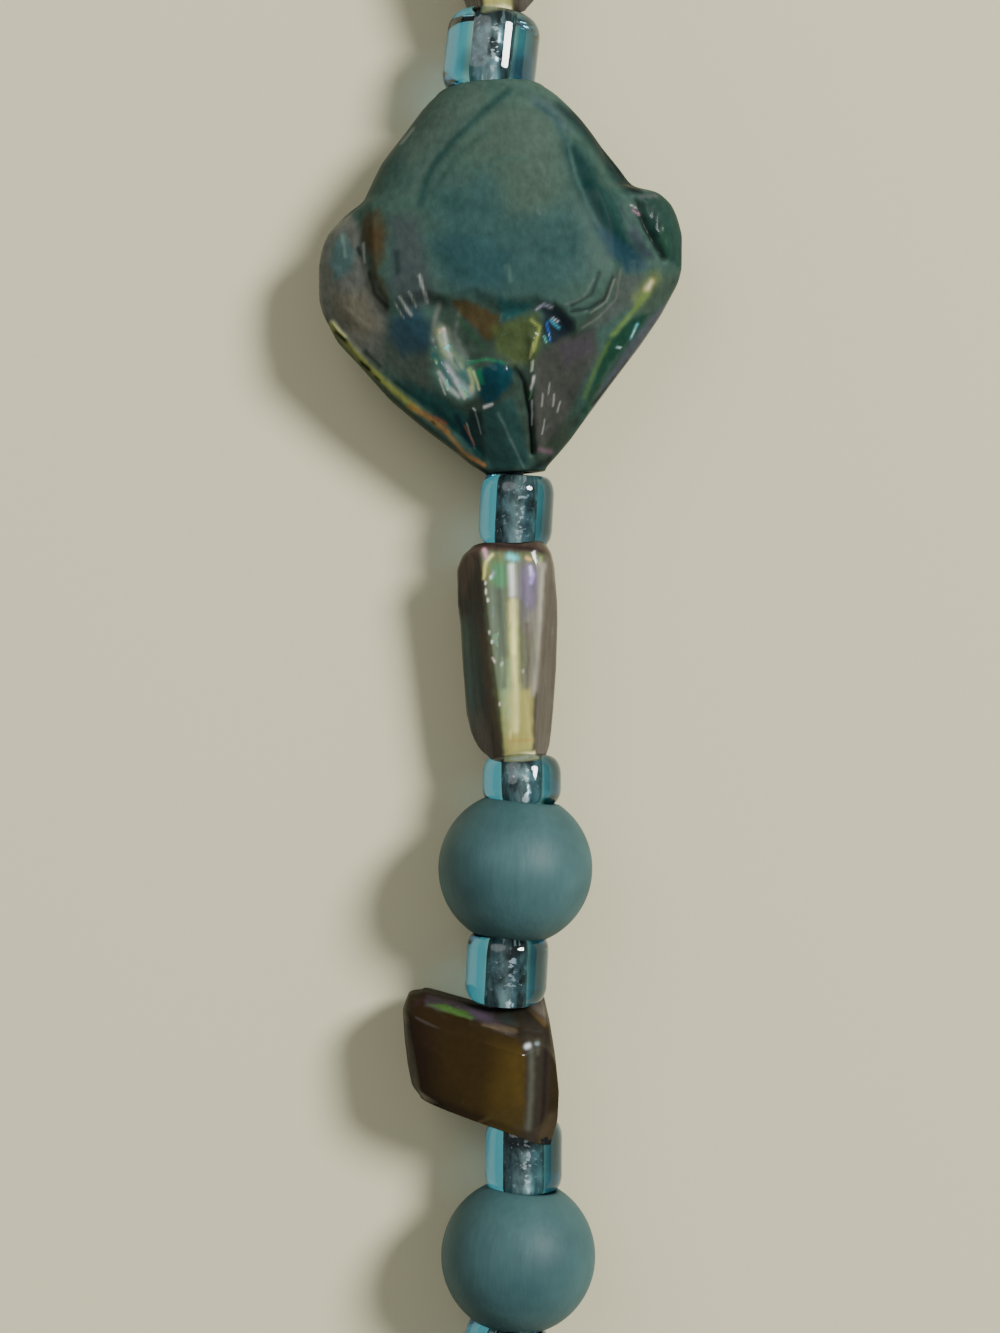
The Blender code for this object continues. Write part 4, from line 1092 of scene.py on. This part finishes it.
TUBE_MARKS = (
    # the dark left facet
    Patch(
        "#2a2620", 0.9, 0.3, 0.3, 0,
        ((-3.1, 5.7), (-2, 5.7), (-1.8, 2.8), (-1.6, -0.9), (-1.5, -3.5), (-0.8, -6.2), (-3.6, -6.1)),
    ),
    Patch(
        "#364c46", 0.8, 0.45, 0.3, 0,
        ((-3.2, 1.8), (-2.5, 1.8), (-2.2, -0.9), (-2.2, -3.5), (-2.5, -4.3), (-3.3, -2.1)),
    ),
    Patch("#4e5a48", 0.5, 0.35, 0.24, 0, ((-3.1, 2.3), (-2.7, 1.8), (-2.7, -0.3), (-3.1, 0))),
    Patch("#23352f", 0.85, 0.3, 0.2, 0, ((-2.5, 2.8), (-1.9, 0.4), (-1.7, -1.5), (-1.9, -3), (-2.3, -1.6))),
    Patch(
        "#3c2c20", 0.85, 0.25, 0.2, 0,
        ((-2, 1.8), (-1.5, 0.4), (-1.3, -2.2), (-0.8, -5.2), (-1.1, -6), (-1.5, -3.5), (-1.8, -1.5)),
    ),
    Patch("#4a4640", 0.7, 0.4, 0.26, 0, ((-2.8, -3.2), (-2, -3.2), (-1.6, -5.2), (-1.7, -6), (-2.5, -4.8))),
    Stroke("#15120f", 0.9, 0.12, 0.3, 0, ((-3.1, 4.4), (-3.1, 3.5), (-3.1, 2.6))),
    # the brown rim at the top
    Patch(
        "#4a3a30", 0.9, 0.35, 0.2, 0,
        ((-3, 5.2), (-2.3, 6), (-0.4, 5.9), (1.3, 5.6), (2.1, 4.9), (1.6, 5),
         (0.3, 5.2), (-1.1, 5.3), (-1.9, 5.2), (-2.4, 4.1), (-2.8, 3.1)),
    ),
    Stroke("#1c1512", 0.8, 0.16, 0.25, 0, ((-2, 5.8), (-0.7, 5.6), (0.7, 5.4), (1.7, 5))),
    # the front facet, with a painted highlight band down it, painted glints and painted sparkles
    Patch(
        "#6f7a52", 0.9, 0.25, 0.12, 0.05,
        ((-1.7, 5.3), (1.6, 5), (1.1, 1.7), (0.8, -2.3),
         (0.6, -5.7), (-0.9, -5.8), (-1.3, -2.2), (-1.6, 2.3)),
    ),
    Patch(
        "#5d6a5c", 0.8, 0.3, 0.14, 0.05,
        ((-1.6, 3.6), (-0.5, 3.5), (-0.6, 0.1), (-0.9, -2.2), (-1.2, -1.7), (-1.5, 1.2)),
    ),
    Patch(
        "#4f8a62", 0.85, 0.26, 0.12, 0.1,
        ((-1.2, 4.7), (-0.4, 4.7), (-0.4, 3.7), (-0.9, 3.3), (-1.3, 3.8)),
    ),
    Patch(
        "#6c6070", 0.7, 0.4, 0.16, 0.05,
        ((0.2, 4.8), (1.5, 4.5), (1.2, 2.2), (0.6, 0.9), (0.1, 1.4), (0, 3.3)),
    ),
    Patch("#7a6c90", 0.45, 0.3, 0.14, 0.05, ((0.2, 4.3), (0.7, 4.3), (1.1, 3.4), (0.9, 2.2), (0.3, 2.7))),
    Patch("#8a8474", 0.75, 0.3, 0.16, 0, ((0.4, 1.7), (1.1, 2.2), (0.9, -1), (0.8, -2.3), (0.3, -2))),
    Patch("#a89f58", 0.85, 0.25, 0.12, 0.1, ((-0.7, -2), (0.7, -2), (0.6, -5.2), (-0.8, -5.5), (-0.9, -3.5))),
    Patch(
        "#8fa878", 0.7, 0.22, 0.12, 0.1,
        ((-0.9, -0.4), (-0.4, -0.4), (-0.5, -3.3), (-0.8, -4.1), (-0.9, -2.2)),
    ),
    # a painted highlight down the front, yellow below and white above
    Stroke(
        "#d8d488", 0.9, 0.22, 0.12, 0.15,
        ((-0.2, 2.5), (-0.2, 0.9), (-0.2, -0.8), (-0.2, -2.2), (-0.3, -4.1)),
    ),
    Stroke("#f8f4a0", 0.95, 0.13, 0.1, 0.2, ((-0.2, 2.7), (-0.2, 1.2), (-0.2, -0.1))),
    Stroke("#f2f4ea", 0.95, 0.16, 0.08, 0.2, ((-0.2, 4.5), (-0.2, 3.8), (-0.2, 3))),
    # painted glints in cyan, violet, pink and gold
    Stroke("#62e6e8", 0.95, 0.17, 0.08, 0.2, ((-0.3, 5), (0, 4.9))),
    Stroke("#b09adc", 0.9, 0.11, 0.1, 0.2, ((0.8, 4.4), (0.9, 4), (0.8, 3.6))),
    Stroke("#d8ccf0", 0.85, 0.08, 0.08, 0.2, ((0.8, 4.4), (0.8, 4))),
    Stroke("#e8a8bc", 0.9, 0.10, 0.12, 0.2, ((-1.6, 5.4), (-1.5, 5))),
    Stroke("#ece68a", 0.9, 0.09, 0.12, 0.3, ((-1.2, 5.1), (-1.5, 4.8), (-1.6, 4.4), (-1.7, 3.9))),
    # painted white sparkles down the left of the facet
    Stroke("#fbfbe8", 1, 0.05, 0.12, 0.2, ((-1.6, 3.7), (-1.6, 3.6))),
    Stroke("#fbfbe8", 1, 0.05, 0.12, 0.2, ((-1.6, 3.3), (-1.6, 3.1))),
    Stroke("#fbfbe8", 1, 0.05, 0.12, 0.2, ((-1.5, 2.8), (-1.5, 2.7))),
    Stroke("#f4f4e0", 0.9, 0.06, 0.1, 0.2, ((-1.3, 3.9), (-1.3, 4.0))),
    Stroke("#fbfbe8", 1, 0.05, 0.12, 0.2, ((-1.5, 1.1), (-1.5, 1.0))),
    Stroke("#fbfbe8", 1, 0.05, 0.12, 0.2, ((-1.4, 0.6), (-1.4, 0.5))),
    Stroke("#f0d8d0", 0.95, 0.05, 0.12, 0.2, ((-1.4, -0.3), (-1.3, -0.5))),
    Stroke("#f4f4e0", 0.9, 0.05, 0.1, 0.2, ((-0.9, -0.6), (-0.9, -0.7))),
    Stroke("#e8e0d0", 0.85, 0.05, 0.1, 0.2, ((0.2, -1), (0.2, -1.1))),
    Stroke("#f0d0d0", 0.85, 0.05, 0.1, 0.2, ((-1.1, -2.7), (-1.1, -2.8))),
    Stroke("#d8b070", 0.85, 0.09, 0.12, 0.1, ((0.6, 4.9), (0.8, 4.8))),
    Stroke("#4c5244", 0.7, 0.16, 0.16, 0, ((-0.9, 3.2), (-0.8, 1.4), (-0.7, -0.6), (-0.8, -1.8))),
    Stroke("#56584a", 0.6, 0.12, 0.16, 0, ((0.2, 2.6), (0.2, 0.6), (0.1, -1.6))),
    Stroke("#5a4f48", 0.6, 0.14, 0.16, 0, ((0.5, 1.4), (0.5, -0.4), (0.4, -1.9))),
    # its lighter right ridge and the brown right facet
    Patch(
        "#4c453e", 0.92, 0.22, 0.28, 0,
        ((1.6, 5), (2.3, 4.2), (2.2, 1.3), (1.9, -2.3), (1.6, -5.5), (0.6, -5.6), (0.9, -1), (1.3, 2.2)),
    ),
    Stroke("#9c9684", 0.8, 0.15, 0.16, 0, ((1.5, 4.5), (1.3, 3.2), (1.1, 1.1), (0.9, -1), (0.7, -2.3))),
    Patch(
        "#443a34", 0.6, 0.22, 0.26, 0,
        ((1.9, 4.2), (2.3, 3.8), (2.1, 0.3), (1.9, -2.3), (1.6, -2.3), (1.6, 1.1)),
    ),
    Stroke("#3a322c", 0.7, 0.12, 0.24, 0, ((0.9, -2.3), (0.7, -4.1), (0.7, -5.4))),
    # the gold rim at the bottom, with a painted highlight along its lip
    Patch("#f0e8a8", 0.95, 0.12, 0.34, 0, ((-0.8, -5.5), (0.7, -5.3), (0.8, -5.9), (-0.9, -6.1))),
    Stroke("#fdfbe4", 1, 0.08, 0.2, 0, ((-0.6, -5.8), (0, -5.75), (0.6, -5.6))),
    Stroke("#f2ee9a", 0.85, 0.08, 0.1, 0.1, ((-0.8, -5.8), (-0.5, -5.9))),
    Stroke("#a08a4a", 0.8, 0.1, 0.15, 0.1, ((-0.7, -4.7), (0.5, -4.7))),
    Stroke(
        "#1a1c18", 0.85, 0.12, 0.25, 0,
        ((-2.1, -5.7), (-1.5, -6.2), (-0.2, -6.35), (1.2, -6.0), (1.5, -5.6)),
    ),
)

CHIP_MARKS = (
    # the face, darker to the left
    Patch("#2c1f0c", 0.95, 0.5, 0.2, 0, ((-4.9, 4.2), (0.8, 1.1), (-0.2, -4.5), (-1.7, -4.2), (-5.8, -1.2))),
    Patch("#34280e", 0.8, 0.6, 0.18, 0, ((-3.7, 2.7), (-1.2, 1.9), (-1.8, -2.1), (-3.2, -2.1), (-4.2, -0.7))),
    Patch("#493a14", 0.9, 0.7, 0.18, 0, ((-0.8, 1.4), (0.8, 1.1), (-0.1, -4.3), (-2.1, -3.9), (-1.6, -1.1))),
    Patch("#56451a", 0.6, 0.4, 0.18, 0, ((-0.3, 0.7), (0.6, 0.8), (0.2, -2), (-0.4, -2.4), (-0.8, -1.3))),
    Patch("#43381a", 0.6, 0.4, 0.18, 0, ((-1.8, -2.1), (0, -2), (-0.4, -4.3), (-1.7, -4))),
    Patch("#2c1a12", 0.8, 0.3, 0.2, 0, ((-4.7, 2.8), (-4.3, 2.4), (-4.7, 0), (-5, 0.5))),
    Stroke("#6a5c38", 0.45, 0.08, 0.16, 0, ((-2.4, -2.6), (-2, -2.5), (-1.7, -2.4))),
    # the bevel along the top, green under violet
    Patch(
        "#4a4248", 0.9, 0.14, 0.16, 0,
        ((-4.1, 4.2), (-3.4, 4.4), (-1.8, 4.3), (-1, 2.9), (0.4, 1.7),
         (0.3, 1.5), (-0.7, 2), (-1.8, 2.7), (-2.6, 3.1), (-4.1, 3.8)),
    ),
    Patch(
        "#5a4e60", 0.85, 0.16, 0.2, 0.05,
        ((-3.1, 4.2), (-1.9, 4.1), (-1.3, 3.2), (-0.7, 2.4), (-1.6, 2.7), (-2.3, 3.4)),
    ),
    Patch(
        "#4f7a36", 0.9, 0.14, 0.14, 0.05,
        ((-3.9, 3.8), (-3.2, 3.7), (-2.4, 3.3), (-1.7, 2.8), (-1.8, 2.7), (-2.7, 3.1), (-3.5, 3.6)),
    ),
    Patch(
        "#706248", 0.75, 0.10, 0.2, 0,
        ((-1.3, 2.4), (-0.3, 2.1), (0.4, 1.8), (0.4, 1.6), (-0.5, 1.9), (-1.3, 2.3)),
    ),
    Stroke("#39242a", 0.7, 0.1, 0.2, 0, ((-4.7, 3.9), (-4.1, 4.3), (-3.4, 4.5), (-2, 4.4))),
    # painted shade in the hollow that the glass sits in, with the glass's reflection painted in teal
    Patch(
        "#11211f", 0.92, 0.25, 0.16, 0,
        ((-1.8, 4.2), (1.5, 3.5), (1.2, 2.5), (0.6, 2), (-0.3, 2.3), (-1, 2.9)),
    ),
    Patch("#2f5a56", 0.7, 0.18, 0.14, 0, ((0, 2.5), (0.7, 2.6), (0.9, 2.1), (0.5, 2), (-0.1, 2.2))),
    # the small piece beside the glass
    Patch("#7a6a62", 0.9, 0.2, 0.18, 0, ((1.6, 3.9), (2.2, 4), (2.1, 1.7), (1.7, 1.7), (1.2, 2.5))),
    Stroke("#b8b09a", 0.7, 0.12, 0.16, 0, ((2, 3), (2, 2.2))),
    Stroke("#8a6a28", 0.75, 0.1, 0.16, 0, ((1.8, 1.9), (1.9, 1.7))),
    # the bevel along the right
    Patch(
        "#332e26", 0.9, 0.16, 0.24, 0,
        ((0.4, 1.6), (1.2, 1.9), (2, 1.3), (2, 0.3), (1.4, -2.6),
         (0.9, -3.7), (0.2, -4.5), (-0.3, -4.4), (0.2, -2.4), (0.7, 0.5)),
    ),
    Stroke("#585a4e", 0.75, 0.18, 0.2, 0, ((1, 0.7), (0.8, -0.7), (0.5, -2.1), (0.2, -3.3))),
    Stroke("#56544a", 0.6, 0.14, 0.2, 0, ((1.4, 1), (1.3, 0.4))),
    Stroke("#231a16", 0.8, 0.13, 0.2, 0, ((1.9, 1.2), (1.6, -0.4), (1.2, -2.2), (0.9, -3.4), (0.6, -4.1))),
    # painted glints
    Stroke("#f6fafc", 1, 0.12, 0.1, 0.1, ((0.8, 0.9), (0.9, 0.9))),
    Stroke("#9ab0b4", 0.7, 0.09, 0.12, 0.1, ((1.3, 0.9), (1.4, 0.9))),
    # the bevel along the left and bottom
    Stroke(
        "#3a3628", 0.75, 0.16, 0.42, 0,
        ((-5.5, 0.1), (-5.3, -0.8), (-4.7, -1.5), (-3.5, -2.3), (-2.2, -3.2)),
    ),
    Stroke("#3f3a2c", 0.6, 0.1, 0.46, 0, ((-5.3, -0.5), (-5.1, -1.1), (-4.5, -1.7))),
    Stroke("#2a1c1a", 0.7, 0.2, 0.42, 0, ((-5.2, 2.9), (-5.3, 1.5), (-5.4, 0.3))),
    # its lower right corner
    Patch("#453a26", 0.92, 0.2, 0.46, 0, ((0.7, -3.4), (1.3, -2.9), (2.4, -2.6), (2.4, -5.2), (0.3, -5.4))),
)


# The front, the left and right flanks and the bevel at the wide end
TUBE_FACETS = (
    Facet((0.0, -0.03, 1.0), (0.0, 0.0, 1.85), 0.06),
    Facet((-0.80, -0.0875, 0.75), (-1.79, 5.0, 1.95), 0.10),
    Facet((0.85, -0.094, 0.50), (1.59, 5.0, 1.95), 0.08),
    Facet((0.0, 1.0, 1.3), (0.0, 5.35, 1.95), 0.16),
)


def sculpt_tube(places, seed):
    lift = 0.04 * mottle(places, 1.6, seed) * eased(-1.0, 1.0, places[:, 2])
    return ground(lifted(places, lift), TUBE_FACETS)


def tube_paint(places, seed, stray):
    across, along, _ = places.T
    paint = start_paint(places, "#3a322a", 0.22)
    cloud = mottle(places, 1.5, seed + 2)
    paint["colour"] = blend(paint["colour"], 0.3 + 0.6 * cloud, "#2f3a34")
    paint_marks(paint, across, along, wandering(places, seed + 3, stray * 0.4), TUBE_MARKS)
    return paint


# The chip is a slanted block: its front slides along the hole as it goes across, by this share
CHIP_SLANT = 0.55
CHIP_PIVOT = -1.6
# The front, and the bevels along its right, top, bottom and left
CHIP_FACETS = (
    Facet((0.04, 0.06, 1.0), (0.0, 0.0, 2.48), 0.03),
    Facet((0.64, -0.08, 1.0), (0.60, 1.0, 2.44), 0.10),
    Facet((0.45, 0.90, 0.70), (-2.0, 2.7, 2.45), 0.07),
    Facet((-0.53, -0.85, 0.60), (-2.5, -3.25, 2.5), 0.10),
    Facet((-1.0, 0.0, 0.60), (-5.0, 0.0, 2.3), 0.16),
)


def sculpt_chip(places, _):
    """Slants the chip, draws out the small horn beside the glass, and grinds its front and bevels."""
    across, along, height = places.T
    slant = np.maximum(eased(-0.5, 1.5, height), eased(2.0, 3.2, -across))
    slid = -CHIP_SLANT * (across - CHIP_PIVOT) * slant
    horn = 0.9 * eased(1.0, 1.9, across) * (1 - eased(-1.2, 0.2, height)) * eased(1.6, 3.0, along)
    moving = np.hypot(across, height) > FORMS["chip"].seat + 0.02
    return ground(places + np.stack([0 * slid, (slid + horn) * moving, 0 * slid], axis=1), CHIP_FACETS)


CHIP_SIDE_ROUGH = 0.46


def chip_paint(places, seed, stray):
    across, along, height = places.T
    paint = start_paint(places, "#2b2110", 0.20)
    cloud = mottle(places, 1.5, seed + 2)
    paint["colour"] = blend(paint["colour"], 0.4 + 0.5 * cloud, "#3a3018")
    paint_marks(paint, across, along, wandering(places, seed + 3, stray * 0.3), CHIP_MARKS)
    side = 1 - eased(0.8, 1.9, height)
    paint["rough"] = paint["rough"] * (1 - side) + CHIP_SIDE_ROUGH * side
    paint["colour"] = blend(paint["colour"], side * 0.6, "#241c10")
    return paint


SHELLS = {
    "nugget": (sculpt_nugget, nugget_paint),
    "tube": (sculpt_tube, tube_paint),
    "chip": (sculpt_chip, chip_paint),
}


def shell_mesh(name, kind, cut, seed):
    """One shell bead, sculpted and painted uncut, then turned over or end for end and sized."""
    form = FORMS[kind]
    skin = wrapped_grid(shell_places(form, FINE.get(name, FINE[kind])))
    sculpt, painter = SHELLS[kind]
    mesh = as_mesh(name, skin)
    places = corner_places(mesh)
    bore = np.hypot(places[:, 0], places[:, 2]) < BORE_RADIUS + 0.01
    carved = sculpt(places, seed)
    carved[:, 2] = np.maximum(carved[:, 2], -form.hole_height)
    places = np.where(bore[:, None], places, carved)
    paint = painter(places, seed, 0.0 if name in FINE else COPY_STRAY)
    set_field(mesh, "paint", paint["colour"])
    set_field(mesh, "rough", paint["rough"])
    set_field(mesh, "shine", paint["shine"])
    set_field(mesh, "grain", places + seed * GRAIN_SHIFT)
    side = -1 if cut.mirrored else 1
    end = -1 if cut.turned else 1
    places[:, 0] *= side * cut.width
    places[:, 1] *= end
    places[:, 2] = np.where(places[:, 2] > 0, places[:, 2] * cut.depth, places[:, 2])
    mesh.vertices.foreach_set("co", places.ravel())
    if side * end < 0:
        mesh.flip_normals()
    mesh.shade_smooth()
    return mesh


# Turned pieces


def arc_points(centre, radius, start, end, steps):
    """Profile points on an arc, from one angle to another in degrees, 0 along the axis and 90 outward."""
    angles = np.radians(np.linspace(start, end, steps))
    return [(centre[0] + radius * cos(angle), centre[1] + radius * sin(angle)) for angle in angles]


def smooth_mesh(name, skin):
    mesh = as_mesh(name, skin)
    mesh.shade_smooth()
    return mesh


# How far in degrees the round of a wood bead stops short of its mouth, for a rounded rim
RIM_ROUNDING = 1.5
WOOD_GRAIN_SHIFT = 23.3


def wood_mesh(name, seed):
    """A round bead, with the rims of its hole rounded and countersunk."""
    radius = WOOD_WIDTH / MM / 2
    rim = sqrt(radius**2 - MOUTH_RADIUS**2)
    mouth = np.degrees(np.arctan2(MOUTH_RADIUS, rim))
    floor = rim - WOOD_DIMPLE / MM
    profile = arc_points((0.0, 0.0), radius, mouth + RIM_ROUNDING, 180 - mouth - RIM_ROUNDING, 56)
    dimple = [
        (rim - 0.02, 1.80),
        (rim - 0.10, 1.66),
        (floor, 1.50),
        (floor - 0.02, BORE_RADIUS + 0.1),
        (floor - 0.1, BORE_RADIUS),
    ]
    profile += [(-along, across) for along, across in dimple]
    profile += reversed(dimple)
    mesh = smooth_mesh(name, turned(profile, 72))
    set_field(mesh, "grain", corner_places(mesh) + seed * WOOD_GRAIN_SHIFT)
    return mesh


GLASS_BORE = 0.72
# Each end reaches this far into the gap before the next bead
GLASS_REACH = 0.08
GLASS_SHOULDER = 1.05
# A glass bead's radius at its ends, as a share of its widest
GLASS_END = 0.56
# The glass beads are wider or narrower by these shares in turn
GLASS_SWELL = (1.02, 1.18, 0.94, 1.0, 1.04, 0.98, 1.05)


def glass_profile(length, width):
    """A barrel with rounded shoulders, from its bore's mouth over the outside and back along the bore."""
    half = length / 2 + GLASS_REACH
    shoulder = min(GLASS_SHOULDER, half * 0.75)
    outside = []
    for step in np.linspace(0.0, 1.0, 15):
        angle = step * pi / 2
        along = half - shoulder * (1 - sin(pi / 2 - angle))
        swelling = GLASS_END + (1 - GLASS_END) * sin(angle) ** 0.7
        outside.append((along, width / 2 * swelling))
    first = [(half - 0.04, GLASS_BORE + 0.10), (half, GLASS_BORE + 0.35)] + outside
    last = [(-along, across) for along, across in reversed(first)]
    wall = [(along, GLASS_BORE) for along in np.linspace(-half + 0.12, half - 0.12, 9)]
    return first + last + wall


# Where across the ramp of tints and painted light the glass's lower half is read, from -1 to 1
UNDERSIDE = -0.6


def glass_piece(links, frames, materials):
    """All glass beads as one piece, each clear round a dark lined bore."""
    joined = bmesh.new()
    sides = []
    for index, (link, place) in enumerate(zip(links, frames)):
        if link.kind != "glass":
            continue
        width = GLASS_WIDTH / MM * GLASS_SWELL[(index // 2) % len(GLASS_SWELL)]
        skin = turned(glass_profile(link.length / MM, width), 40)
        for face in skin.faces:
            face.smooth = True
            reach = max(np.hypot(corner.co.x, corner.co.z) for corner in face.verts)
            face.material_index = int(reach < GLASS_BORE + 0.04)
        loose = as_mesh("glass bead", skin)
        across, _, height = corner_places(loose).T
        sides.append(np.where(height > 0, across / (width / 2), UNDERSIDE))
        loose.transform(place @ TO_METRES)
        joined.from_mesh(loose)
        bpy.data.meshes.remove(loose)
    mesh = as_mesh("glass_spacers", joined)
    set_field(mesh, "side", np.concatenate(sides))
    return add_piece("glass_spacers", mesh, materials)


THREAD_SIDES = 10


def thread_piece(links, frames, material):
    """The thread, from one end of the clasp round to the other, straight through every hole."""
    tail = CLASP_LENGTH / 2 - CLASP_BORE_DEPTH
    rings = [(frames[0], -tail)]
    for link, place in zip(links[1:], frames[1:]):
        rings.append((place, link.length / 2))
        rings.append((place, -link.length / 2))
    rings.append((frames[0], tail))
    places = np.zeros((len(rings), THREAD_SIDES, 3))
    for row, (place, along) in enumerate(rings):
        for side in range(THREAD_SIDES):
            angle = 2 * pi * side / THREAD_SIDES
            corner = Vector((cos(angle) * THREAD_WIDTH / 2, along, sin(angle) * THREAD_WIDTH / 2))
            places[row, side] = place @ corner
    skin = wrapped_grid(places / MM)
    bmesh.ops.holes_fill(skin, edges=[edge for edge in skin.edges if edge.is_boundary])
    bmesh.ops.recalc_face_normals(skin, faces=skin.faces)
    return place_mesh("thread", smooth_mesh("thread", skin), Matrix.Identity(4), material)


# The clasp's end, in from its tip and out from its axis, with the groove behind its cap
CLASP_END = (
    (0.75, 1.95), (1.0, 2.6), (1.25, 2.86), (1.6, 2.97), (1.8, 2.98), (1.9, 2.88), (2.1, 2.88),
    (2.2, 3.0), (2.6, 3.06),
)
# The barrel and the ring round its middle, along from the middle and in from its widest
CLASP_MIDDLE = (
    (1.9, 0.3), (1.0, 0.3), (0.9, 0.28), (0.72, 0.04), (0.6, 0.0), (0.12, 0.0), (0.06, 0.12), (0.0, 0.14),
)


def clasp_profile():
    """Half of the barrel clasp's outline from the bottom of its bore, mirrored to the other end."""
    half = CLASP_LENGTH / MM / 2
    bottom = half - CLASP_BORE_DEPTH / MM
    outer = CLASP_WIDTH / MM / 2
    first = [(bottom, 0.0), (bottom, BORE_RADIUS)]
    first += [(half - 0.25, BORE_RADIUS), (half - 0.05, BORE_RADIUS + 0.2)]
    first += arc_points((half - 0.35, 1.45), 0.35, 0, 90, 7)
    first += [(half - inset, radius) for inset, radius in CLASP_END]
    first += [(along, outer - depth) for along, depth in CLASP_MIDDLE]
    return first + [(-along, across) for along, across in reversed(first[:-1])]


def clasp_mesh(name):
    mesh = smooth_mesh(name, turned(clasp_profile(), 64))
    mesh.set_sharp_from_angle(angle=radians(50))
    set_field(mesh, "grain", corner_places(mesh))
    return mesh


# The necklace


def build_necklace():
    materials = make_materials()
    slots = {"nugget": "dyed_shell", "tube": "dark_shell", "chip": "olive_shell", "wood": "painted_wood"}
    links = chain_links()
    frames = link_frames(links)
    made = {kind: 0 for kind in slots}
    for index, (link, place) in enumerate(zip(links, frames)):
        if link.kind not in slots:
            continue
        made[link.kind] += 1
        node = f"{link.kind}_{made[link.kind]}"
        if link.kind == "wood":
            mesh = wood_mesh(node, index)
        else:
            cuts = CUTS[link.kind]
            cut = cuts[(made[link.kind] - 1) % len(cuts)]
            mesh = shell_mesh(node, link.kind, cut, made[link.kind])
        piece = place_mesh(f"bead_{node}", mesh, place, materials[link.kind])
        dress(piece, node)
    dress(glass_piece(links, frames, [materials["glass"], materials["lining"]]), "strand")
    dress(thread_piece(links, frames, materials["thread"]), "strand")
    clasp = place_mesh("barrel_clasp", clasp_mesh("barrel_clasp"), frames[0], materials["clasp"])
    dress(clasp, "clasp")


def dress(piece, node):
    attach(piece, "root")
    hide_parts(node)


# Studio

# The place on the floor that the camera looks straight down at, and its height above it
VIEW_CENTRE = (0.0476, -0.0012)
VIEW_HEIGHT = 0.142
SENSOR_HEIGHT = 36.0
LENS = 70.0
FLOOR_REACH = 1.2


def build_studio():
    skin = bmesh.new()
    bmesh.ops.create_grid(skin, x_segments=1, y_segments=1, size=FLOOR_REACH)
    material, _, _ = new_material("pale floor", Base_Color=linear("#beba99"), Roughness=0.9)
    add_piece("floor", as_mesh("floor", skin), [material])
    add_light("key", place=(0.55, 0.28, 0.60), size=0.24, power=12.5)
    add_light("fill", place=(-0.4, 0.5, 0.8), size=0.8, power=3.2)
    world = bpy.data.worlds.new("studio")
    bpy.context.scene.world = world
    world.use_nodes = True
    background = world.node_tree.nodes["Background"]
    background.inputs["Color"].default_value = (0.97, 0.98, 1.0, 1.0)
    background.inputs["Strength"].default_value = 0.35


def add_light(name, place, size, power):
    light = bpy.data.lights.new(name, "AREA")
    light.shape = "DISK"
    light.size = size
    light.energy = power
    lamp = bpy.data.objects.new(name, light)
    lamp.location = place
    aim = Vector((*VIEW_CENTRE, 0.0)) - Vector(place)
    lamp.rotation_euler = aim.to_track_quat("-Z", "Y").to_euler()
    bpy.context.scene.collection.objects.link(lamp)


def build_camera():
    camera = bpy.data.objects.new("camera", bpy.data.cameras.new("camera"))
    camera.data.sensor_fit = "VERTICAL"
    camera.data.sensor_height = SENSOR_HEIGHT
    camera.data.lens = LENS
    camera.data.clip_start = 0.01
    camera.location = (*VIEW_CENTRE, VIEW_HEIGHT)
    bpy.context.scene.collection.objects.link(camera)
    bpy.context.scene.camera = camera


build_necklace()
build_studio()
build_camera()
